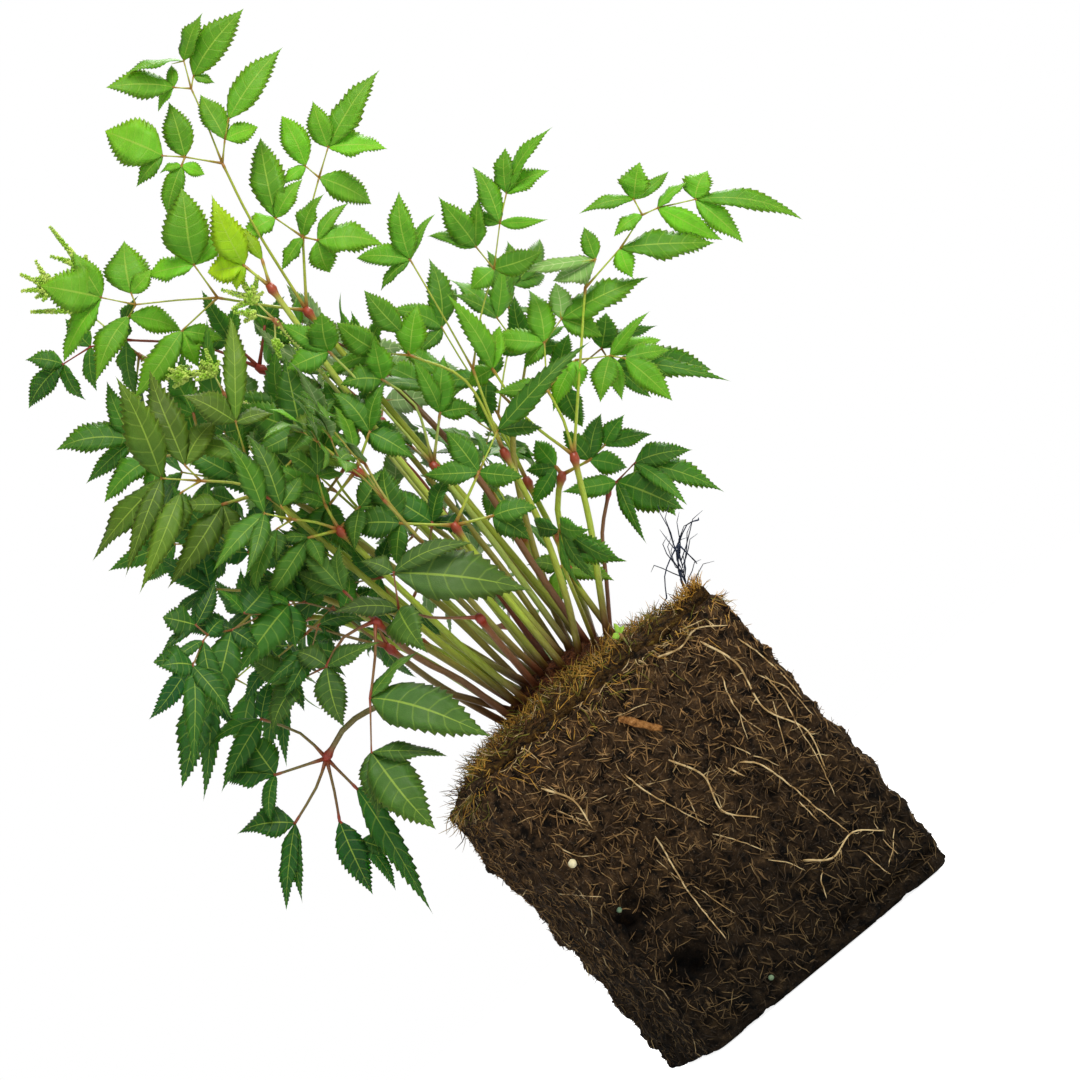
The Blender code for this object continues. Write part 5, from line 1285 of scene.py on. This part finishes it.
def makeMossBed():
    bm = bmesh.new()
    floor = peat["height"] + gap
    size = peat["side"] / 2 - moss["bevel"]
    bmesh.ops.create_grid(bm, x_segments=moss["cuts"], y_segments=moss["cuts"], size=size)
    raised = bmesh.ops.extrude_face_region(bm, geom=bm.faces[:])["geom"]
    top = {element for element in raised if isinstance(element, bmesh.types.BMVert)}
    crest = moss["crest"]
    for vert in bm.verts:
        place = blockTurn @ (vert.co - Vector((peat["lean"], 0, 0)))
        rim = max(abs(vert.co.x), abs(vert.co.y)) / size
        place.z = floor - moss["under"]
        if vert in top:
            away = (place.xy - moss["crown"].xy).length / moss["domeReach"]
            bump = moss["bump"] * noise.noise(place / moss["bumpSize"])
            place.z = floor + moss["edge"] + moss["dome"] * math.exp(-away * away) + bump
            place.z += moss["lump"] * noise.fractal(place * 150, 0.8, 2.1, 3)
            place.z -= moss["rimDrop"] * max(0.0, rim - moss["rimFrom"]) / moss["rimReach"]
            place.z += crest["high"] * math.exp(-((place.xy - crest["at"]).length / crest["reach"]) ** 2)
            shifts = (place * 300, place * 300 + Vector((5, 5, 5)))
            place.xy += Vector([noise.noise(shift) for shift in shifts]) * moss["ragged"]
        vert.co = place
    bmesh.ops.recalc_face_normals(bm, faces=bm.faces)
    smoothFaces(bm.faces)
    tree = BVHTree.FromBMesh(bm)
    addPiece("mossMat", bm, ["mossBed"], "moss", "moss_mat")
    return tree


def strand(start, way, up, length, size, pick, droop):
    line = []
    place = start
    for i, thick in enumerate((1.0, 1.0, 0.9, 0.7, 0.3)):
        line.append((place, size * thick))
        stray = Vector([pick.uniform(-0.35, 0.35) for k in range(3)])
        way = (way + up * (0.5 - droop * i * 0.3) * 0.5 + stray).normalized()
        place = place + way * length / 4
    return line


def mossKind(place, pick):  # the colour of the moss goes by patches
    if pick.random() < moss["straw"]:
        return "mossStraw"
    patch = noise.noise(place * moss["patches"]) + pick.uniform(-0.4, 0.4)
    return "mossGold" if patch > moss["goldFrom"] else "mossOlive" if patch > moss["oliveFrom"] else "mossBrown"


def makeMossStrands(tree, blockTree):
    pick = random.Random(seeds["moss"])
    kinds = {kind: [] for kind in mossKinds}
    half = peat["side"] / 2 - moss["bevel"]
    wide, deep = moss["nearCrown"]

    def addStrand(kind, start, way, up, longest, thickest, droop):
        length = moss["length"] * pick.uniform(*longest)
        size = moss["size"] * pick.uniform(*thickest)
        kinds[kind].append(strand(start, way.normalized(), up, length, size, pick, droop))

    for i in range(moss["strands"]):
        if i % 3 == 0:  # close round the crown
            angle, far = pick.uniform(0, fullTurn), pick.uniform(0.4, 1.7)
            x, y = moss["crown"].x + math.cos(angle) * wide * far, math.sin(angle) * deep * far
        else:
            spot = blockTurn @ Vector((pick.uniform(-half, half) - peat["lean"], pick.uniform(-half, half), 0))
            x, y = spot.x, spot.y
        hit = meet(tree, (x, y, 0.4), -upward)
        if hit is None:
            continue
        angle = pick.uniform(0, fullTurn)
        way = Vector((math.cos(angle), math.sin(angle), pick.uniform(0.0, 0.8)))
        addStrand(mossKind(hit, pick), hit, way, upward, (0.5, 1.5), (0.7, 1.5), 1.0)
    crest = moss["crest"]
    for i in range(crest["strands"]):  # the golden crest at the front right corner
        angle, far = pick.uniform(0, fullTurn), crest["reach"] * pick.random() ** 0.7 * 1.3
        spot = crest["at"] + Vector((math.cos(angle), math.sin(angle))) * far
        hit = meet(tree, (*spot, 0.4), -upward)
        if hit is not None:
            way = Vector((pick.uniform(-0.7, 0.9), pick.uniform(-0.9, 0.6), pick.uniform(0.1, 1.0)))
            kind = "mossBrown" if pick.random() < 0.35 else "mossGold"
            addStrand(kind, hit, way, upward, (0.4, 1.1), (0.7, 1.4), 0.8)
    for i in range(moss["hanging"]):  # strands that hang over the block's top edge
        low = moss["hangFrom"] - moss["hangReach"] * pick.random() ** 2
        start, out = spotOnBlock(blockTree, pick, low, moss["hangFrom"])
        way = out * 0.5 + Vector((pick.uniform(-0.8, 0.8), pick.uniform(-0.8, 0.8), pick.uniform(-1.0, 0.2)))
        kind = list(mossKinds)[min(3, int(pick.random() ** 1.4 * 4))]
        addStrand(kind, start, way, -out * 0.2, (0.5, 1.4), (0.7, 1.3), 0.6)
    for kind, runs in kinds.items():
        addPiece(kind, tubesMesh(kind, runs, hairLook["sides"]), [mossKinds[kind]], "moss")


crownLook = {"radii": Vector((0.034, 0.0255, 0.0185)), "raise": 0.003, "lump": 0.0012, "lumpSize": 0.012,
             "knob": 0.0011, "under": 0.002}


def makeCrown():
    bm = bmesh.new()
    bmesh.ops.create_icosphere(bm, subdivisions=6, radius=1.0)
    floor = peat["height"] + gap
    for vert in bm.verts:
        out = vert.co.copy()
        place = Matrix.Diagonal(crownLook["radii"]) @ out + moss["crown"]
        place.z += floor + crownLook["raise"]
        place += lumps(place, crownLook["lumpSize"], crownLook["lump"])
        place += out * crownLook["knob"] * (noise.fractal(place * 260, 0.7, 2.1, 3) - 0.4)
        place.z = max(place.z, floor - crownLook["under"])
        vert.co = place
    smoothFaces(bm.faces)
    addPiece("crownWood", bm, ["crownBark"], "crown", "crown")


blockTree = makeRootBall()
makePeatHairs(blockTree)
makeCrumbs(blockTree)
mossTree = makeMossBed()
makeMossStrands(mossTree, blockTree)
makeCrown()
print("root ball, moss and crown made")


# Loose roots on the faces of the block, each with a few side rootlets
rootLook = {"radius": 0.0005, "lift": 0.0004, "rootlets": 9, "rootlet": 0.00022, "step": 0.0022, "sides": 6,
            "rootletSteps": 6, "rootletStep": 0.0014, "rootletLift": 0.0003, "curl": 0.5}
frontRoots = {
    "root_front_long": [(5.0, 13.6), (5.6, 11.9), (5.3, 9.8), (6.1, 8.0), (5.7, 6.2)],
    "root_front_middle": [(0.9, 10.6), (1.6, 9.2), (1.3, 7.6), (2.3, 6.4)],
    "root_front_top": [(3.2, 14.2), (4.2, 13.9), (5.2, 14.1), (6.3, 13.4)],
    "root_front_left": [(-3.9, 13.0), (-3.2, 11.8), (-3.3, 10.4)],
    "root_front_low": [(2.6, 3.9), (3.6, 3.2), (4.9, 3.5), (6.0, 2.7)],
}
sideRoots = {"root_side": [(-3.6, 12.6), (-2.2, 11.0), (-2.6, 8.8), (-1.2, 7.0)]}


def makeRoot(name, points, fromSide, tree, seed):
    look = rootLook
    pick = random.Random(seed)
    way = Vector((-1, 0, 0)) if fromSide else backward
    line = []
    for place in smoothLine([Vector((a, 0, z)) * cm for a, z in points], look["step"]):
        start = (spots["from"], place.x, place.z) if fromSide else (place.x, -spots["from"], place.z)
        hit = meet(tree, start, way)
        if hit is not None:
            line.append(hit - way * (look["radius"] * 0.7 + look["lift"] * pick.random()))
    runs = [tapered(line, look["radius"], 0.5, 0.5)]
    for i in range(look["rootlets"]):
        start = line[pick.randrange(1, len(line) - 1)]
        side = around(way.cross(upward), pick.uniform(0, fullTurn))
        out = creep(tree, start, -way, side, look["rootletSteps"], look["rootletStep"], look["rootletLift"], pick,
                    look["curl"])
        thinning = len(out) + 1
        runs.append([(point, look["rootlet"] * (1 - j / thinning)) for j, point in enumerate([start] + out)])
    addPiece(pieceName(name), tubesMesh(name, runs, look["sides"]), ["paleRoot"], "root", name)


for seed, (name, points) in enumerate({**frontRoots, **sideRoots}.items()):
    makeRoot(name, points, name in sideRoots, blockTree, seeds["roots"] + seed)


# More thin roots that show on the front, as (radius in millimetres, points x and z)
looseRoots = [
    (0.30, [(4.8, 11.9), (4.5, 11.1), (4.4, 10.0), (4.7, 9.0)]), (0.22, [(4.4, 10.3), (3.9, 9.1)]),
    (0.30, [(6.2, 10.8), (6.2, 9.6), (5.9, 8.1), (5.8, 7.1), (5.3, 5.1)]),
    (0.26, [(5.8, 9.8), (5.2, 8.5), (4.7, 7.4)]), (0.26, [(6.0, 11.0), (6.3, 10.4), (6.6, 9.8), (6.7, 8.3)]),
    (0.34, [(6.3, 12.7), (6.6, 11.6), (6.8, 10.3), (6.8, 9.1)]),
    (0.42, [(3.1, 8.7), (3.7, 8.1), (4.1, 6.8), (4.4, 5.2), (4.8, 3.6)]), (0.30, [(4.0, 5.9), (4.1, 4.7)]),
    (0.36, [(-0.9, 11.3), (-0.6, 10.1), (-0.1, 8.8), (0.5, 7.5)]), (0.30, [(0.4, 7.1), (1.1, 6.1), (1.6, 5.2)]),
    (0.38, [(-1.5, 8.5), (-1.7, 7.2), (-1.9, 5.8), (-1.9, 4.3), (-1.9, 3.4)]),
    (0.26, [(1.5, 4.8), (2.0, 4.3), (2.4, 3.5)]), (0.28, [(-4.0, 11.9), (-3.4, 10.9)]),
    (0.24, [(-4.9, 10.9), (-4.5, 9.9), (-3.6, 9.3)]), (0.28, [(-6.2, 9.2), (-4.8, 8.0)]),
    (0.34, [(4.6, 14.5), (5.7, 14.2)]), (0.26, [(1.2, 14.1), (1.8, 13.6)]), (0.50, [(2.6, 8.8), (2.9, 8.1)]),
    (0.34, [(0.7, 10.1), (1.2, 10.3)]), (0.26, [(5.7, 2.5), (5.8, 1.6)]),
]
looseLook = {"step": 0.002, "wander": 0.0002, "lift": 0.0004}


def makeLooseRoots(tree):
    pick = random.Random(seeds["looseRoots"])
    runs = []
    for radius, points in looseRoots:
        line = []
        for place in smoothLine([Vector((a, 0, z)) * cm for a, z in points], looseLook["step"]):
            hit = meet(tree, (place.x, -spots["from"], place.z), backward)
            if hit is not None:
                wander = Vector((pick.uniform(-1, 1), 0, pick.uniform(-1, 1))) * looseLook["wander"]
                line.append(hit + wander - backward * (radius * 0.0007 + looseLook["lift"] * pick.random()))
        runs.append(tapered(line, radius * 0.001, 0.45, 0.5))
    addPiece("looseRoots", tubesMesh("looseRoots", runs, rootLook["sides"]), ["paleRoot"], "root")


makeLooseRoots(blockTree)


# The wiry tuft of dead roots and the seedling, laid out as the leaves are
tuft = {"radius": 0.00050, "most": 0.00055, "wires": 18, "length": (0.014, 0.030), "size": 0.00026, "droop": 1.6}


def makeTuft(laid):
    pick = random.Random(seeds["tuft"])
    runs, knots = [], []
    gatherStalks(laid, tuft["radius"], runs, knots)
    runs = [[(place, min(radius, tuft["most"])) for place, radius in run] for run in runs]
    base = laid["points"]
    for i in range(tuft["wires"]):
        start = base[0].lerp(base[-1], pick.random() * 0.9)
        way = Vector((pick.uniform(-0.3, 1.1), pick.uniform(-0.5, 0.5), pick.uniform(0.2, 1.2))).normalized()
        runs.append(strand(start, way, upward, pick.uniform(*tuft["length"]), tuft["size"], pick, tuft["droop"]))
    addPiece("dryRootTuft", tubesMesh("dryRootTuft", runs, rootLook["sides"]), ["wiryRoot"], "wire", "dry_root_tuft")


seedling = {"tone": shade(150, 190, 70), "footBelow": 0.02}


def makeSeedling(laid):
    pick = random.Random(seeds["seedling"])
    bm, tintLayer = newGrowth()
    for place in placesOf(laid):
        addLeaflet(bm, tintLayer, leafletTemplates, place, seedling["tone"], 1.0, pick)
    addStalks(bm, tintLayer, "seedling", laid, stalkTones["seedling"], laid["points"][0].z - seedling["footBelow"])
    addPiece("seedlingSprout", bm, ["bladeUpper", "bladeUnder", "stalkSkin"], "leaf", "seedling")


makeTuft(plant["dry_root_tuft"])
makeSeedling(plant["seedling"])


# The bark chip and the beads in the front of the block
chip = {"size": (0.0185, 0.002, 0.0032), "turn": math.radians(52), "sunk": 0.3, "cuts": 12, "taper": 0.35,
        "bend": 0.0006, "grain": 0.0004}
beads = {"cream_bead": {"radius": 0.0019, "finish": "creamBead", "slot": "cream"},
         "prill_upper": {"radius": 0.0012, "finish": "greenPrill", "slot": "prill"},
         "prill_lower": {"radius": 0.0012, "finish": "greenPrill", "slot": "prill"}}
beadLook = {"sunk": 0.4, "uneven": 0.05}


def onFront(node, lift):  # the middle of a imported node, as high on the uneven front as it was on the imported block
    low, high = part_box(node)
    middle = (Vector(low) + Vector(high)) / 2
    hit = meet(blockTree, (middle.x, -spots["from"], middle.z), backward)
    return Vector((middle.x, hit.y - lift, middle.z))


def makeChip():
    long, thick, wide = chip["size"]
    bm = bmesh.new()
    bmesh.ops.create_cube(bm, size=1.0)
    bmesh.ops.subdivide_edges(bm, edges=bm.edges[:], cuts=chip["cuts"], use_grid_fill=True)
    middle = onFront("bark_chip", thick * chip["sunk"])
    turn = blockTurn @ Matrix.Rotation(chip["turn"], 3, "Y")
    for vert in bm.verts:
        taper = 1 - chip["taper"] * abs(vert.co.x * 2) ** 3
        place = Vector((vert.co.x * long, vert.co.y * thick * taper, vert.co.z * wide * taper))
        place.z += chip["bend"] * noise.noise(place * 300)
        place.y += chip["grain"] * noise.noise(Vector((place.x * 200, 0, place.z * 900)))
        vert.co = middle + turn @ place
    smoothFaces(bm.faces)
    addPiece("barkChip", bm, ["chipBark"], "chip", "bark_chip")


def makeBead(node, radius, finish, slot):
    bm = bmesh.new()
    middle = Matrix.Translation(onFront(node, radius * beadLook["sunk"]))
    bmesh.ops.create_icosphere(bm, subdivisions=4, radius=radius, matrix=middle)
    for vert in bm.verts:
        vert.co += vert.normal * radius * beadLook["uneven"] * noise.noise(vert.co * 900)
    smoothFaces(bm.faces)
    addPiece(pieceName(node), bm, [finish], slot, node)


makeChip()
for name, look in beads.items():
    makeBead(name, **look)
print("roots, tuft, seedling, chip and beads made")


# Floor, light and camera
stage = {
    "floorSize": 12.0, "floorDrop": 0.0005, "floorTones": ((0.88, 0.88, 0.88), (0.91, 0.91, 0.905)),
    "white": (1, 1, 1, 1), "sky": 0.42, "floorGlow": 0.90, "floorLight": 0.16, "lampAim": Vector((0, 0, 0.25)),
    "roll": math.radians(39.1), "aim": Vector((0.025, 0.0, 0.213)), "far": 2.5, "eyeHeight": 0.10,
    "lens": 195.0, "seen": 0.458,
}
lamps = {
    "keyLight": {"place": (0.75, -0.75, 1.25), "size": 0.7, "power": 19.0, "colour": (1.0, 0.98, 0.94)},
    "backLight": {"place": (0.55, 0.85, 0.95), "size": 0.6, "power": 9.0, "colour": (1.0, 1.0, 0.97)},
    "fillLight": {"place": (-0.95, -0.8, 0.5), "size": 0.9, "power": 2.5, "colour": (0.95, 0.98, 1.0)},
}


def seenByCamera(tree):
    return addNode(tree, "ShaderNodeLightPath").outputs["Is Camera Ray"]


def makeFloor():
    bm = bmesh.new()
    bmesh.ops.create_grid(bm, x_segments=2, y_segments=2, size=stage["floorSize"] / 2)
    material, tree, shader = newMaterial("paleFloor", 0.85)
    tone = blend(tree, clouds(tree, onObject(tree), 3.0, 2.0), *stage["floorTones"])
    glow = ramp(tree, seenByCamera(tree), stage["floorLight"], stage["floorGlow"])
    tree.links.new(tone, shader.inputs["Base Color"])
    shader.inputs["Emission Color"].default_value = stage["white"]
    tree.links.new(glow, shader.inputs["Emission Strength"])
    floor = bpy.data.objects.new("floor", meshOf("floor", bm))
    floor.data.materials.append(material)
    floor.location.z = -stage["floorDrop"]
    bpy.context.scene.collection.objects.link(floor)


def makeLight():
    world = bpy.data.worlds.new("sky")
    bpy.context.scene.world = world
    world.use_nodes = True
    tree = world.node_tree
    light = tree.nodes["Background"]
    light.inputs["Color"].default_value = stage["white"]
    light.inputs["Strength"].default_value = stage["sky"]
    seen = addNode(tree, "ShaderNodeBackground", {"Color": stage["white"], "Strength": 1.0})
    sky = addNode(tree, "ShaderNodeMixShader", {0: seenByCamera(tree), 1: light.outputs[0], 2: seen.outputs[0]})
    tree.links.new(sky.outputs[0], tree.nodes["World Output"].inputs["Surface"])
    for name, look in lamps.items():
        data = bpy.data.lights.new(name, "AREA")
        data.shape = "DISK"
        data.size = look["size"]
        data.energy = look["power"]
        data.color = look["colour"]
        lamp = bpy.data.objects.new(name, data)
        lamp.location = look["place"]
        lamp.rotation_euler = (stage["lampAim"] - lamp.location).to_track_quat("-Z", "Y").to_euler()
        bpy.context.scene.collection.objects.link(lamp)


def makeCamera():  # the plant stands upright here and is tilted in the photograph, so the camera rolls
    data = bpy.data.cameras.new("camera")
    data.lens = stage["lens"]
    data.sensor_width = stage["seen"] / stage["far"] * stage["lens"]
    camera = bpy.data.objects.new("camera", data)
    eye = Vector((stage["aim"].x, -stage["far"], stage["eyeHeight"]))
    facing = (stage["aim"] - eye).to_track_quat("-Z", "Y").to_matrix().to_4x4()
    camera.matrix_world = Matrix.Translation(eye) @ facing @ Matrix.Rotation(-stage["roll"], 4, "Z")
    bpy.context.scene.collection.objects.link(camera)
    bpy.context.scene.camera = camera
    bpy.context.scene.view_settings.view_transform = "Standard"


makeFloor()
makeLight()
makeCamera()
print("stage ready")
